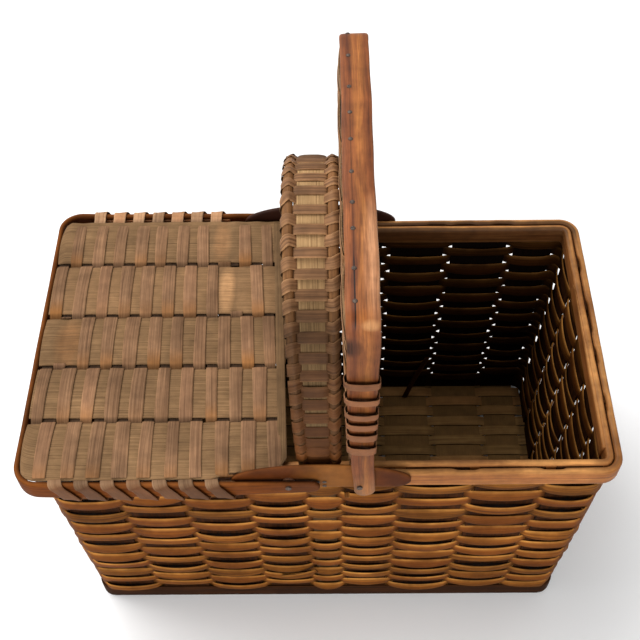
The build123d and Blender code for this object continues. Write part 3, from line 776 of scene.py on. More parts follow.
class BASKET_OT_lay_floor(bpy.types.Operator):
    """Lay the floor's strips over and under its wide splints"""

    bl_idname = "basket.lay_floor"
    bl_label = "Lay the Floor"

    def execute(self, context):
        hand = random.Random(3)
        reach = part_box("floor_strips")[1].x
        end = SIDE_SPAN * half_length(0) / WALL_TOP_HALF_LENGTH
        crossings = np.array([-end, *side_edges(0), end])
        pitch = 2 * FLOOR_HALF_SPAN / FLOOR_STRIPS
        strips, line = [], np.linspace(-1, 1, 121)
        for number in range(FLOOR_STRIPS):
            x = line * (reach + (3 * MM if 0 < number < FLOOR_STRIPS - 1 else 0))
            column = np.clip(np.searchsorted(crossings, x, side="right") - 1, 0, len(crossings) - 2)
            part = np.clip((x - crossings[column]) / (crossings[column + 1] - crossings[column]), 0, 1)
            swing = np.sin(np.pi * part) ** 0.4 * np.where((column + number) % 2, -1, 1)
            z = FLOOR_MIDDLE + swing * np.where(swing > 0, 1.4, 1.15) * MM
            y = -FLOOR_HALF_SPAN + (number + 0.5) * pitch + hand.uniform(-0.2, 0.2) * MM
            y = y + 0.5 * MM * np.sin(x / (60 * MM) + 6 * hand.random())
            # crown, the size of the swing, gives painted shade where a strip dives under a splint
            strips.append(bend_splint(
                f"strip_{number}", np.column_stack([x, y, z]), BACK, pitch - 0.4 * MM, 0.9 * MM,
                tone=hand.random(), crown=np.abs(swing),
            ))
        x = line * (reach - 8 * MM)
        for y in (-FLOOR_HALF_SPAN - 2.4 * MM, FLOOR_HALF_SPAN + 2.4 * MM):
            points = np.column_stack([x, np.full_like(x, y), np.full_like(x, 0.5 * MM)])
            # crown 0 gives the whole edge strip painted shade
            strips.append(bend_splint("edge_strip", points, BACK, 5 * MM, 0.6 * MM, tone=0.3, crown=0.0))
        dress(join_splints("woven_floor", strips), "floor_splint", "root", "wall_splint", "floor_strips")
        return {"FINISHED"}


def hoop_splint(name, half_x, half_y, corner, low, high, thickness, waver, hand, tone, slits=(), slit_side=1):
    """A closed wooden hoop, a little uneven, with rounded edges.

    At each of the slits it is thinner, on its inside where slit_side is 1 and outside where -1.
    """
    outline = Round(half_x - thickness / 2, half_y - thickness / 2, corner - thickness / 2)
    distances = np.linspace(0, outline.length, 481)
    points, outward = outline.walk(distances)
    phases = uneven(hand, 5, 0, 2 * math.pi)
    turn = 2 * math.pi * distances / outline.length
    wave = np.sin(3 * turn + phases[0]) + 0.6 * np.sin(7 * turn + phases[1])
    push = np.sin(4 * turn + phases[2]) + 0.5 * np.sin(9 * turn + phases[3])
    loss = waver * (0.6 + 0.6 * np.sin(23 * turn + phases[4]))
    for slit in slits:
        away = np.linalg.norm(points - np.array(slit) * MM, axis=1)
        loss += SLIT_DEPTH * np.clip((11 * MM - away) / (4 * MM), 0, 1)
    moved = points + outward * (push * waver * 0.4 + slit_side * loss / 2)[:, None]
    placed = np.column_stack([moved, (low + high) / 2 + (wave - 1.6) * waver])
    thick = thickness - loss
    placed[-1], thick[-1] = placed[0], thick[0]
    return bend_splint(name, placed, UP, high - low, thick, ROUND_EDGED, True, tone)


class BASKET_OT_bend_rim(bpy.types.Operator):
    """Bend the two hoops of the rim and the band round the foot"""

    bl_idname = "basket.bend_rim"
    bl_label = "Bend the Rim"

    def execute(self, context):
        hand = random.Random(2)
        thickness = RIM_DEPTH / 2 - 0.3 * MM
        outer = hoop_splint(
            "rim_outer", rim_high.x, rim_high.y, RIM_CORNER, rim_low.z, rim_high.z, thickness, RIM_WAVER, hand,
            0.35, RIM_SLITS,
        )
        dress(outer, "rim_wood", "root", "rim_wood", "rim_outer_hoop")
        inset = RIM_DEPTH - thickness
        inner = hoop_splint(
            "rim_inner", rim_high.x - inset, rim_high.y - inset, RIM_CORNER - inset, inner_low.z, inner_high.z,
            thickness, RIM_WAVER, hand, 0.5, slit_side=-1,
        )
        # The strip that laps the inner hoop's joint, on the right
        y = np.linspace(-104, 56, 60) * MM
        height = (inner_high.z - inner_low.z - 1.5 * MM) * np.clip((60 * MM - y) / (12 * MM), 0.5, 1)
        middle = np.full_like(y, (inner_low.z + inner_high.z) / 2)
        scarf = bend_splint(
            "scarf", np.column_stack([np.full_like(y, rim_high.x - RIM_DEPTH), y, middle]), UP, height,
            3.2 * MM * np.clip((58 * MM - y) / (90 * MM), 0.1, 1), ROUND_EDGED, tone=0.62,
        )
        dress(join_splints("rim_inner", [inner, scarf]), "rim_wood", "root", "rim_wood", "rim_inner_hoop")
        foot = hoop_splint(
            "foot_splint", foot_high.x, foot_high.y, WALL_CORNER + 0.6 * MM, foot_low.z, foot_high.z + 1 * MM,
            2.2 * MM, 0.0, hand, 0.4,
        )
        dress(foot, "foot_splint", "root", "wall_splint", "foot_band")
        return {"FINISHED"}


class BASKET_OT_cut_ears(bpy.types.Operator):
    """Cut the two boards that carry the lids' pivots"""

    bl_idname = "basket.cut_ears"
    bl_label = "Cut the Ear Boards"

    def execute(self, context):
        # The back board takes a darker copy of the front's wood, as painted shade
        for name, wood, side in (("front_ear_board", "ear_wood", -1), ("back_ear_board", "dark_ear_wood", 1)):
            low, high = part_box(name)
            half, tip_z = (high.x - low.x) / 2, rim_high.z - 4 * MM
            share = np.sin(np.linspace(-1, 1, 65) * math.pi / 2)
            x = (low.x + high.x) / 2 - side * share * half
            top = tip_z + (high.z - tip_z) * np.sqrt(np.maximum(1 - share**2, 0))
            drop = np.clip(half * (1 - np.abs(share)) / (12 * MM), 0, 1)
            bottom = tip_z - (tip_z - low.z) * np.sqrt(1 - (1 - drop) ** 2)
            honey = np.clip(1.15 - np.abs(x - 8 * MM) / (30 * MM), 0, 1) if side < 0 else 0.0
            y, z = np.full_like(x, (low.y + high.y) / 2), np.full_like(x, (low.z + high.z) / 2)
            board = bend_splint(
                name + "_cut", np.column_stack([x, y, z]), UP, 1 * MM, high.y - low.y, ROUND_EDGED, tone=0.4,
                tint=honey,
            )
            shape_board(board.data, x, top, bottom)
            dress(board, wood, "root", "rim_wood", name)
        return {"FINISHED"}


def shape_board(mesh, x, top, bottom):
    """Spread a straight board's edges to a top and a bottom line."""
    order = np.argsort(x)
    corners = read_corners(mesh)
    across = np.zeros(len(corners))
    mesh.attributes["across"].data.foreach_get("value", across)
    high = np.interp(corners[:, 0], x[order], top[order])
    low = np.interp(corners[:, 0], x[order], bottom[order])
    corners[:, 2] = low + (high - low) * (across + 1) / 2
    mesh.vertices.foreach_set("co", corners.ravel())
    mesh.update()


class Arch:
    """The handle's middle line: two long side arcs and a crown arc, from front to back."""

    def __init__(self, half_span, rise, crown_radius, foot_z, foot_x, top_x):
        self.half_span, self.rise, self.crown = half_span, rise, crown_radius
        self.foot_z, self.foot_x, self.top_x = foot_z, foot_x, top_x
        drop = rise - crown_radius
        self.side = (half_span**2 + drop**2 - crown_radius**2) / (2 * (half_span - crown_radius))
        self.turn = math.atan2(drop, self.side - half_span)
        self.length = 2 * self.side * self.turn + crown_radius * (math.pi - 2 * self.turn)

    def walk(self, distances):
        """Points, heading and outward direction at distances from the front foot."""
        side_run = self.side * self.turn
        arcs = [distances < side_run, distances > self.length - side_run]
        angle = np.select(
            arcs, [distances / self.side, math.pi - (self.length - distances) / self.side],
            self.turn + (distances - side_run) / self.crown,
        )
        radius = np.select(arcs, [self.side, self.side], self.crown)
        off = self.half_span - self.side
        reach = np.select(arcs, [off, -off], 0.0) + radius * np.cos(angle)
        height = np.select(arcs, [0.0, 0.0], self.rise - self.crown) + radius * np.sin(angle)
        x = self.foot_x + (self.top_x - self.foot_x) * height / self.rise
        level = np.zeros(len(distances))
        return (
            np.column_stack([x, -reach, self.foot_z + height]),
            np.column_stack([level, np.sin(angle), np.cos(angle)]),
            np.column_stack([level, -np.cos(angle), np.sin(angle)]),
        )

    def half_gap(self, points):
        """Half the distance between the two rods' middles at points on the arch."""
        return np.interp(points[:, 2] - self.foot_z, (0, self.rise), (11.5 * MM, 15.8 * MM))


def wrap_splint(arch, settings, hand):
    """One long splint that binds the handle: over the band and under the rods, then back the other way."""
    thick = settings.wrap_thickness
    stand, band_stand = ROD_RADIUS + thick / 2, (BAND_THICKNESS + thick) / 2
    places, place = [], 9 * MM
    while place < arch.length - 9 * MM:
        share = min(place, arch.length - place) / (arch.length / 2)
        pitch = settings.foot_pitch + (settings.crown_pitch - settings.foot_pitch) * share
        places.append((place, pitch * hand.uniform(0.85, 1.15)))
        place += places[-1][1]
    # Across the handle's section: share of the rods' gap, height
    side_under = ((-1, stand), (-0.62, 0.6 * MM), (-0.45, -band_stand))
    under_band = side_under + tuple((-share, height) for share, height in side_under[::-1])
    corners = []
    for start, pitch in places:
        rise, loose = hand.uniform(-0.8, 0.8) * MM, hand.uniform(0.2, 1.5) * MM
        tilt, clean = hand.uniform(0.05, 0.35), hand.uniform(0.5, 1.1)
        side_over = ((1, -stand), (0.76, 0.2 * MM), (0.66, band_stand + 0.2 * MM), (0.4, band_stand + loose))
        over_band = (
            *side_over, (0, band_stand + 1.15 * loose), *((-share, height) for share, height in side_over[::-1]),
        )
        turns = (
            *((share, height, 0, 0.0, 0.0) for share, height in under_band),
            (1, 0, 1, 0.25, 0.0),
            *((share, height, 0, 0.5, tilt * (height > band_stand)) for share, height in over_band),
            (-1, 0, -1, 0.75, 0.0),
        )
        for share, height, side, advance, lift in turns:
            corners.append((share, height, side, start + pitch * advance + rise, lift, clean))
    share, height, side, along, lift, clean = smooth_path(corners, 4).T
    along = np.clip(along, 0, arch.length)
    points, headings, outward = arch.walk(along)
    placed = points + outward * height[:, None]
    placed[:, 0] += share * arch.half_gap(points) + side * stand
    downhill = np.sign(arch.length / 2 - along) * lift
    golden = np.clip(1 - np.minimum(along, arch.length - along) / (150 * MM), 0, 1) ** 1.5
    # crown gives painted shade where the wrap lies low, under the band and the rods; clean darkens some turns at
    # random
    return bend_splint(
        "handle_wrap", placed, headings - outward * downhill[:, None], settings.wrap_width, thick,
        tone=0.45, crown=np.clip((height + 1 * MM) / (2.4 * MM), 0, 1) * clean, tint=golden,
    )


class BASKET_OT_wrap_handle(bpy.types.Operator):
    """Bend the handle's band and rods and weave its wraps round them"""

    bl_idname = "basket.wrap_handle"
    bl_label = "Wrap the Handle"

    def execute(self, context):
        settings = context.scene.basket_handle
        hand = random.Random(settings.seed)
        foot_z = rim_high.z
        arch = Arch(
            half_width(foot_z) - 2.25 * MM, rise=162 * MM, crown_radius=94 * MM, foot_z=foot_z,
            foot_x=-3.6 * MM, top_x=-8.3 * MM,
        )
        over = arch.walk(np.linspace(0, arch.length, 120))[0]
        leg_z = np.linspace(0.6 * MM, foot_z - 4 * MM, 14)
        leg_x = -1.75 * MM + UPRIGHT_LEAN * (1 - leg_z / foot_z)
        front = np.column_stack([leg_x, 1.9 * MM - half_width(leg_z), leg_z])
        points = np.vstack([front, over, front[::-1] * (1, -1, 1)])
        above = points[:, 2] > foot_z - 1 * MM
        rise = np.clip((points[:, 2] - foot_z) / arch.rise, 0, 1)
        band = bend_splint(
            "handle_band", points, LEFT, np.where(above, 15.4 + 8 * rise, 19.2) * MM,
            np.where(above, BAND_THICKNESS, UPRIGHT_THICKNESS), tone=0.4, tint=np.where(above, 0.0, 1.0),
        )
        dress(band, "handle_band_splint", "root", "handle_splint", "handle_centre_band")
        for way, name in ((-1, "left"), (1, "right")):
            beside = over + way * np.outer(arch.half_gap(over), (1, 0, 0))
            rod = bend_splint(f"handle_rod_{name}", beside, LEFT, 2 * ROD_RADIUS, 2 * ROD_RADIUS, ROD, tone=0.4)
            rod = join_splints(rod.name, [rod])
            dress(rod, "handle_rod_wood", "root", "handle_wood", f"handle_{name}_rod")
        wraps = wrap_splint(arch, settings, hand)
        dress(wraps, "handle_wrap_splint", "root", "handle_splint", "handle_wraps")
        return {"FINISHED"}


class Lid:
    """A lid's own axes: along it from its pivot, across it as the frame's Y, and out of its top."""

    def __init__(self, name, along, top, tail, corner, camber, leg_drop, leg_depths):
        self.name, self.tail, self.corner, self.camber = name, tail, corner, camber
        self.leg_drop, self.leg_depths = leg_drop, leg_depths
        self.pivot = np.array(pivots[name])
        self.along, self.top = np.array(along), np.array(top)
        self.hand = 1.0 if np.dot(np.cross(self.along, BACK), self.top) > 0 else -1.0
        widths = np.array(LID_ROWS) / sum(LID_ROWS) * (panel_high.y - panel_low.y)
        self.edges = panel_low.y + np.concatenate([[0], np.cumsum(widths)])

    def front(self, reach):
        """The panel's front edge, which keeps clear of the ear board near the pivot and follows the far bend."""
        straight = self.edges[0] - 5.2 * MM * np.clip((reach - 43 * MM) / (14 * MM), 0, 1)
        corner = self.corner - 6.5 * MM
        into = np.clip((reach - (LID_PANEL_END - corner)) / corner, 0, 1)
        return straight + corner * (1 - np.sqrt(np.maximum(1 - into**2, 0)))

    def leg(self, reach):
        """Heights of the top and the bottom of the hoop's legs, whose ends taper."""
        places = (-self.tail, 40 * MM, 150 * MM, LID_REACH - self.corner)
        top = LID_TOP - np.interp(reach, places, (LID_TAIL_DROP, self.leg_drop, self.leg_drop, 0))
        return top, top - np.interp(reach, (-self.tail, 58 * MM, 150 * MM, 195 * MM), self.leg_depths)

    def place(self, reach, across, height):
        """Points of the frame at places of the lid."""
        reach, across, height = np.broadcast_arrays(reach, across, height)
        return self.pivot + np.outer(reach, self.along) + np.outer(height, self.top) + np.outer(across, BACK)

    def weaver_reach(self, number, across):
        """How far from the pivot a weaver lies: the weavers spread towards the front."""
        settings = bpy.context.scene.basket_lid
        share = (across - self.edges[0]) / (self.edges[-1] - self.edges[0])
        front = 10.3 * MM + settings.front_pitch * number
        back = 24.2 * MM + settings.back_pitch * number
        return front + (back - front) * share


def eased(share):
    """A share of 0 to 1 with soft ends."""
    share = np.clip(share, 0, 1)
    return share * share * (3 - 2 * share)


def weaver_part(lid, number, start, end, settings, hand):
    """A weaver over one row of a lid and under the next, between two places across the lid."""
    front = float(lid.front(lid.weaver_reach(number, lid.edges[0])))
    start = max(start, front)
    edges = np.concatenate([[front], lid.edges[1:]])
    middles = [a + (b - a) * share for a, b in zip(edges, edges[1:]) for share in (0.42, 0.58)]
    near = (edges[1:, None] + NEAR_EDGE).ravel()
    ends = start + np.array((0, 0.7, 1.6, 3, 6, 12)) * MM
    across = np.unique(np.concatenate([ends, [end], middles, near]))
    across = across[(across >= start) & (across <= end)]
    height = np.full(len(across), GAP_HEIGHT - UNDER)
    # The crown sets painted shade: 0.3 where the weaver lies under a row
    crown = np.full(len(across), 0.3)
    tint = np.zeros(len(across))
    for row, (low, high) in enumerate(zip(edges, edges[1:])):
        if (number + row) % 2:
            continue
        low_edge, high_edge = low + ROW_FRONT * (row > 0), high - ROW_BACK
        dome = lid.camber * (1 - (2 * (across - low_edge) / (high_edge - low_edge) - 1) ** 2)
        rise = eased((across - (low - ROW_BACK)) / (ROW_BACK + 1.5 * MM))
        if row == 0:
            rise = eased((across - low + 0.6 * MM) / (2.2 * MM))
        fall = eased((high - 0.8 * MM - across) / (3.0 * MM))
        over = GAP_HEIGHT + np.maximum(dome, 0) + OVER * hand.uniform(0.9, 1.25)
        height = height + (over - height) * rise * fall
        within = (across > low - ROW_BACK) & (across < high)
        # Painted shade as the weaver comes out from under a row, and a painted shadow in the slit at the row's
        # back edge
        crown = np.where(within, 0.35 + 0.65 * eased((across - low + 1.5 * MM) / (6 * MM)), crown)
        crown = np.where((across > high - 2.6 * MM) & (across < high + 1 * MM), 0.0, crown)
        orange = max(hand.uniform(-0.3, 1.1), 0)
        faded = np.clip((low + 0.27 * (high - low) - across) / (0.22 * (high - low)), 0, 1)
        tint = np.where(within, orange * faded, tint)
    reach = lid.weaver_reach(number, across)
    reach = reach + (np.sin(across / (38 * MM) + hand.uniform(0, 6)) + hand.uniform(-1, 1)) * 0.6 * MM
    side = -lid.hand * lid.along + 0.05 * hand.uniform(-1, 1) * lid.top
    width = settings.weaver_width * hand.uniform(0.9, 1.08)
    width = width * (1 + 0.07 * np.sin(across / (21 * MM) + 9 * number)) * (0.9 + 0.1 * crown)
    return bend_splint(
        f"{lid.name}_weaver_{number}", lid.place(reach, across, height), side, width, settings.weaver_thickness,
        tone=hand.uniform(0.22, 0.7), crown=crown, tint=tint,
    )


def lid_weaver(lid, number, settings, hand):
    """A weaver, in two parts where the closed lid's has broken and in one elsewhere."""
    breaks = BROKEN_WEAVERS.get(number, ()) if lid.name == "left_lid" else ()
    ends = [lid.edges[0] - 4 * MM, *(lid.edges[row] + past * MM for row, past in breaks), lid.edges[-1]]
    return [weaver_part(lid, number, start, end, settings, hand) for start, end in zip(ends[::2], ends[1::2])]


def lid_standard(lid, row, hand):
    """A broad domed splint, pressed down by the weavers over it and up by those under it."""
    reach = np.linspace(LID_SETBACK, LID_PANEL_END, 160)
    start = lid.edges[row] + ROW_FRONT if row else lid.front(reach)
    end = lid.edges[row + 1] - ROW_BACK
    if row == len(LID_ROWS) - 1:
        far = lid.front(reach) - lid.front(100 * MM)
        end = lid.edges[-1] + 2.2 * MM - np.maximum(far - 2 * MM, 0) * (reach > 150 * MM)
    middle = (start + end) / 2
    front, back = lid.weaver_reach(0, middle), lid.weaver_reach(1, middle)
    beat = np.cos(math.pi * ((reach - front) / (back - front) + row))
    sway = 0.3 * MM * np.sin(reach / (45 * MM) + 3 * row)
    # crown gives painted shade where a weaver presses the splint down
    return bend_splint(
        f"{lid.name}_standard_{row}", lid.place(reach, middle + sway, GAP_HEIGHT - 0.35 * MM * beat),
        (0, lid.hand, 0), end - start, 1.1 * MM, BROAD, tone=hand.uniform(0.3, 0.6), crown=0.8 - 0.2 * beat,
        camber=lid.camber, keep_sides=True,
    )


def lid_hoop(lid, hand):
    """The bent wooden hoop round a lid, whose two ends taper to its pivots."""
    half, corner = LID_OUTER - LID_THICKNESS / 2, lid.corner - LID_THICKNESS / 2
    far = LID_REACH - LID_THICKNESS / 2
    tip = -lid.tail + np.array((0.0, 0.3, 1, 2, 3.5, 5.5)) * MM
    leg = np.concatenate([tip, np.linspace(-lid.tail + 9 * MM, far - corner, 56)])
    turn = np.linspace(0, math.pi / 2, 13)[1:-1]
    side_reach = np.concatenate([leg, far - corner + corner * np.sin(turn)])
    side_across = np.concatenate([np.full(len(leg), -half), -half + corner - corner * np.cos(turn)])
    bar = np.linspace(-half + corner, half - corner, 60)
    reach = np.concatenate([side_reach, np.full_like(bar, far), side_reach[::-1]])
    across = np.concatenate([side_across, bar, -side_across[::-1]])
    top, bottom = lid.leg(reach)
    thickness = np.interp(reach, (-lid.tail, 80 * MM), (3.4 * MM, LID_THICKNESS))
    from_tip = np.clip((reach + lid.tail) / (6 * MM), 0, 1)
    depth = (top - bottom) * np.maximum(np.sqrt(1 - (1 - from_tip) ** 2), 0.12)
    run = np.linspace(0, 40, len(reach))
    wave = 0.25 * MM * np.sin(run + hand.random()) + 0.15 * MM * np.sin(2.7 * run)
    return bend_splint(
        f"{lid.name}_bent_hoop", lid.place(reach, across, (top + bottom) / 2 + wave), lid.hand * lid.top, depth,
        thickness, ROUND_EDGED, tone=hand.uniform(0.3, 0.5), tint=np.clip((18 * MM - reach) / (30 * MM), 0, 1),
    )


def lashing(lid, number, side, reach, width, slant, loose, flare, hand):
    """A weaver's end, which goes over the hoop, down outside it and back under it."""
    half = LID_OUTER - LID_THICKNESS / 2
    top, bottom = (float(height) / MM for height in lid.leg(reach))
    route = (
        # height in the lid, distance out of the hoop's middle, share of the slant
        (3.5, -19, 0), (3.5, -10, 0), (3.6, -5.6, 0), (top - 0.3, -3.6, 0), (top + 0.5 + loose, -1.6, 0.03),
        (top + 0.5 + loose, 1.3, 0.08), (top - 1.4, 2.9 + loose, 0.2), (-1.0, 3.1 + 1.5 * loose, 0.42),
        (-6.5, 3.0 + 1.6 * loose, 0.66), (bottom + 2.6, 2.8 + 1.2 * loose, 0.86),
        (bottom - 0.3, 2.4 + loose, 0.96), (bottom - 1.2, 0.8, 1), (bottom - 1.0, -1.8, 1),
        (bottom + 2, -3.1, 1), (-5.0, -3.2, 1), (0.5, -3.4, 1),
    )
    height, out, share = smooth_path(np.array(route) * (MM, MM, 1), 3).T
    points = lid.place(reach - share * slant, side * (half + out), height)
    outward = unit(np.cross(unit(np.gradient(points, axis=0)), lid.along))
    centre = lid.place(reach, side * half, (LID_TOP + LID_BOTTOM) / 2)
    away = np.sign(np.sum((points - centre) * outward, axis=1)) * (out > 2 * MM)
    if lid.name == "left_lid":
        width = width * (0.97 + 0.42 * share)
    # crown gives painted shade where the lashing runs in under the panel
    return bend_splint(
        f"{lid.name}_lashing_{number}", points, lid.along + flare * outward * away[:, None], width, 0.9 * MM,
        tone=hand.random(), crown=np.clip(1 - out / (-12 * MM), 0.3, 1),
        tint=np.clip((share - 0.06) / 0.14, 0, 1),
    )


def nail_heads(name, places, directions, radius):
    """Round nail heads, turned once and copied to each place."""
    bpy.ops.object.select_all(action="DESELECT")
    bpy.ops.mesh.primitive_uv_sphere_add(segments=14, ring_count=8, radius=1)
    head = bpy.context.object
    head.scale = (radius, radius, radius * 0.5)
    bpy.ops.object.transform_apply(location=False, rotation=False, scale=True)
    head.data.shade_smooth()
    heads = []
    for place, direction in zip(places, directions):
        copy = bpy.data.objects.new(name, head.data.copy())
        turn = Vector(direction).to_track_quat("Z", "Y").to_matrix().to_4x4()
        copy.data.transform(Matrix.Translation(Vector(place)) @ turn)
        bpy.context.scene.collection.objects.link(copy)
        heads.append(copy)
    bpy.data.objects.remove(head)
    return join_splints(name, heads)


def lid_nails(lid):
    """Two nails through the hoop's end into each row, and one in the far bend."""
    across = np.maximum(np.array(LID_NAILS) * MM, lid.corner - LID_OUTER)
    angle = math.radians(32)
    bend_reach = LID_REACH - lid.corner + lid.corner * math.cos(angle)
    bend_across = LID_OUTER - lid.corner + lid.corner * math.sin(angle)
    places = lid.place([LID_REACH] * len(across) + [bend_reach], [*across, bend_across], LID_TOP - LID_NAIL_DROP)
    bend_way = lid.along * math.cos(angle) + np.array(BACK) * math.sin(angle)
    return nail_heads(f"{lid.name}_nail_heads", places, [lid.along] * len(across) + [bend_way], 1.7 * MM)


def hinge_splint(lid):
    """The strip along a lid's hinge edge, which is thinner and further in over the rim."""
    across = np.linspace(lid.edges[0], lid.edges[-1], 90)
    share = (across - lid.edges[0]) / (lid.edges[-1] - lid.edges[0])
    row = np.clip(np.searchsorted(lid.edges, across, side="right") - 1, 0, 4)
    place = (across - lid.edges[row]) / (lid.edges[row + 1] - lid.edges[row])
    height = GAP_HEIGHT + 0.9 * MM + lid.camber * (1 - (2 * place - 1) ** 2) ** 0.7
    over_rim = np.clip((-115 * MM - across) / (5 * MM), 0, 1)
    # Tone 0, the darkest, is painted shade: the handle's shadow lies over this strip
    return bend_splint(
        f"{lid.name}_hinge_splint", lid.place((4.2 + 9 * share + 2.4 * over_rim) * MM, across, height),
        -lid.hand * lid.along, (6.8 - 3.6 * over_rim) * MM, 0.9 * MM, tone=0.0,
    )


class BASKET_OT_weave_lids(bpy.types.Operator):
    """Weave the two lids inside their bent hoops"""

    bl_idname = "basket.weave_lids"
    bl_label = "Weave the Lids"

    def execute(self, context):
        settings = context.scene.basket_lid
        lean_x, lean_z = math.sin(OPEN_LEAN), math.cos(OPEN_LEAN)
        left = Lid(
            "left_lid", (-1, 0, 0), UP, 23 * MM, 19 * MM, 2.7 * MM, 1.2 * MM, np.array((12.5, 18, 20, 20)) * MM,
        )
        right = Lid(
            "right_lid", (-lean_x, 0, lean_z), (-lean_z, 0, -lean_x), 15 * MM, 14 * MM, 1.5 * MM, -0.9 * MM,
            np.array((15.5, 17, 20.4, 21.2)) * MM,
        )
        # Where loops go round a lid's legs, at the front and at the back, and how wide they are, in mm
        left_loops = [(8.8 + 9.7 * n, 25.3 + 8.6 * n, 10.6) for n in range(5, 18, 2)]
        near_loops = ((58, 13), (76, 11), (90, 9.5), (104, 9), (122, 9), (141, 10))
        right_loops = [(reach, reach, width) for reach, width in near_loops]
        # Slant in mm, least and most looseness in mm, and flare
        left_way, right_way = (10.5, 0.2, 0.5, -0.1), (1.5, 0.8, 1.3, 0.16)
        for lid, wood, bark, places, way in (
            (left, "left_hoop_wood", "lashing_splint", left_loops, left_way),
            (right, "lid_hoop_wood", "right_lashing", right_loops, right_way),
        ):
            name = lid.name
            hand = random.Random(settings.seed + len(name))
            hoop = lid_hoop(lid, hand)
            rows = join_splints(f"{name}_rows", [lid_standard(lid, row, hand) for row in range(len(LID_ROWS))])
            weavers = [lid_weaver(lid, number, settings, hand) for number in range(settings.weaver_count)]
            weave = join_splints(f"{name}_weave", sum(weavers, []))
            edge = hinge_splint(lid)
            loops, (slant, least, most, flare) = [], way
            for number, (front, back, width) in enumerate(places):
                loose = hand.uniform(least, most)
                width *= hand.uniform(0.94, 1.05) * MM
                loops += [
                    lashing(lid, number, -1, front * MM, width, slant * MM, loose, flare, hand),
                    lashing(lid, number + 20, 1, back * MM, width, slant / 2 * MM, loose, flare, hand),
                ]
            for piece, finish_name, slot, part in (
                (hoop, wood, "lid_wood", "hoop"), (rows, "lid_standard", "lid_splint", "splints"),
                (weave, "lid_weaver", "lid_splint", "weavers"),
                (edge, "lid_standard", "lid_splint", "edge_splint"),
                (join_splints(f"{name}_loops", loops), bark, "lid_splint", "lashings"),
                (lid_nails(lid), "nail_steel", "nail_steel", "nails"),
            ):
                dress(piece, finish_name, name, slot, f"{name}_{part}")
        return {"FINISHED"}


def floor_finish(colour):
    """Plain floor: white to the camera where it is lit, with the object's shadow."""
    material, n, shader = new_material("studio_floor")
    shader.inputs["Roughness"].default_value = 0.9
    seen = n.mix(n.add("LightPath").outputs["Is Camera Ray"], (*colour, 1.0), (1.0, 1.0, 1.0, 1.0))
    n.put(shader.inputs["Base Color"], seen)
    return material


def add_lamp(name, place, size, power):
    """A square soft lamp that points at the basket's middle."""
    data = bpy.data.lights.new(name, "AREA")
    data.size, data.energy = size, power
    lamp = bpy.data.objects.new(name, data)
    bpy.context.scene.collection.objects.link(lamp)
    lamp.location = place
    lamp.rotation_euler = (Vector((0, 0, 0.15)) - Vector(place)).to_track_quat("-Z", "Y").to_euler()


def set_camera(scene):
    """The camera stands above the front, as it did for the photograph."""
    place = Vector((2.436, -490.451, 950.064)) * MM
    pitch, yaw, roll = math.radians(53.774), math.radians(-0.612), math.radians(-0.92)
    ahead = Vector((math.sin(yaw) * math.cos(pitch), math.cos(yaw) * math.cos(pitch), -math.sin(pitch)))
    level = Vector((math.cos(yaw), -math.sin(yaw), 0))
    upright = level.cross(ahead)
    right = level * math.cos(roll) + upright * math.sin(roll)
    up = upright * math.cos(roll) - level * math.sin(roll)
    data = bpy.data.cameras.new("camera")
    data.lens, data.sensor_width = 58.446, 36
    data.clip_start, data.clip_end = 0.01, 30
    camera = bpy.data.objects.new("camera", data)
    scene.collection.objects.link(camera)
    camera.matrix_world = Matrix.Translation(place) @ Matrix((right, up, -ahead)).transposed().to_4x4()
    scene.camera = camera


class BASKET_OT_finish_frame(bpy.types.Operator):
    """Give the carried-over nodes their finishes"""

    bl_idname = "basket.finish_frame"
    bl_label = "Finish the Frame"

    def execute(self, context):
        woods = {
            "upright_splint": ("cross_splints", "middle_floor_splint"),
            "end_upright_splint": ("left_uprights", "right_uprights"),
            "nail_steel": ("ear_board_nails", "pivot_pins"),
            "washer_dull": ("pivot_washers",),
        }
        for wood, names in woods.items():
            for name in names:
                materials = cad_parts[name].data.materials
                materials.clear()
                materials.append(finish(wood))
        return {"FINISHED"}


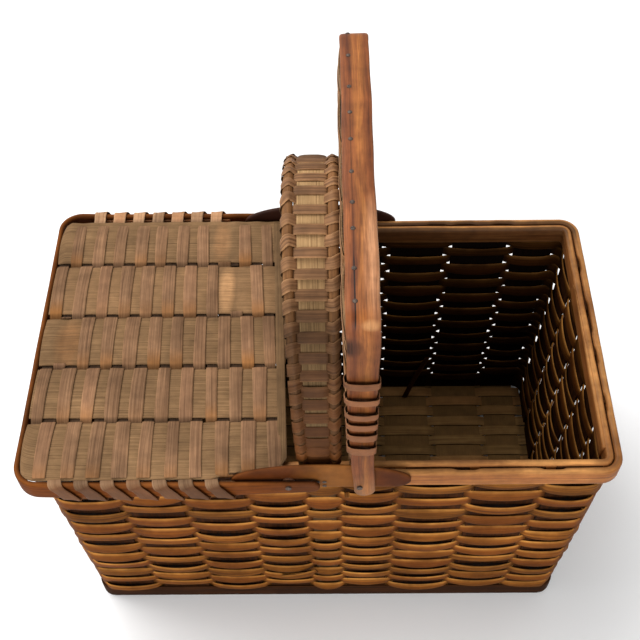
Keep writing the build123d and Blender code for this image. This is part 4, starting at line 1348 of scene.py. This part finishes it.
class BASKET_OT_set_stage(bpy.types.Operator):
    """Set the plain floor, the lights and the camera"""

    bl_idname = "basket.set_stage"
    bl_label = "Set the Stage"

    def execute(self, context):
        scene = context.scene
        bpy.ops.object.select_all(action="DESELECT")
        bpy.ops.mesh.primitive_plane_add(size=8, location=(0, 0, -0.3 * MM))
        floor = context.object
        floor.name = "studio_floor"
        floor.data.materials.append(floor_finish(scene.basket_stage.floor_colour))
        scene.world = bpy.data.worlds.new("studio_world")
        scene.world.use_nodes = True
        n = Nodes(scene.world.node_tree)
        n.tree.nodes.clear()
        light, white = (n.add("Background", (1, 1, 1, 1), strength).outputs[0] for strength in (0.45, 1.0))
        path = n.add("LightPath").outputs
        # What the camera, a gloss or a clear body sees is white, and what lights the object is softer
        seen = n.maths("MAXIMUM", path["Is Camera Ray"], path["Is Glossy Ray"])
        seen = n.maths("MAXIMUM", seen, path["Is Transmission Ray"])
        n.add("OutputWorld", n.add("MixShader", seen, light, white).outputs[0])
        add_lamp("key_lamp", (-1.0, 0.75, 2.25), 2.0, 64)
        add_lamp("front_lamp", (-0.3, -2.4, 0.9), 1.4, 42)
        set_camera(scene)
        scene.view_settings.view_transform = "Standard"
        return {"FINISHED"}


class BASKET_PT_panel(bpy.types.Panel):
    """Every step of the basket, in order"""

    bl_idname = "BASKET_PT_panel"
    bl_label = "Splint Basket"
    bl_space_type = "VIEW_3D"
    bl_region_type = "UI"
    bl_category = "Basket"

    def draw(self, context):
        for step in STEPS:
            self.layout.operator(step.bl_idname)


SETTINGS = {
    "basket_wall": WallSettings,
    "basket_lid": LidSettings,
    "basket_handle": HandleSettings,
    "basket_stage": StageSettings,
}
STEPS = (
    BASKET_OT_weave_wall,
    BASKET_OT_lay_floor,
    BASKET_OT_bend_rim,
    BASKET_OT_cut_ears,
    BASKET_OT_wrap_handle,
    BASKET_OT_weave_lids,
    BASKET_OT_finish_frame,
    BASKET_OT_set_stage,
)


def register():
    for kind in (*SETTINGS.values(), *STEPS, BASKET_PT_panel):
        bpy.utils.register_class(kind)
    for name, kind in SETTINGS.items():
        setattr(bpy.types.Scene, name, PointerProperty(type=kind))


def unregister():
    for name in SETTINGS:
        delattr(bpy.types.Scene, name)
    for kind in reversed((*SETTINGS.values(), *STEPS, BASKET_PT_panel)):
        bpy.utils.unregister_class(kind)


def main():
    register()
    for step in STEPS:
        group, name = step.bl_idname.split(".")
        getattr(getattr(bpy.ops, group), name)()


if __name__ == "__main__":
    main()
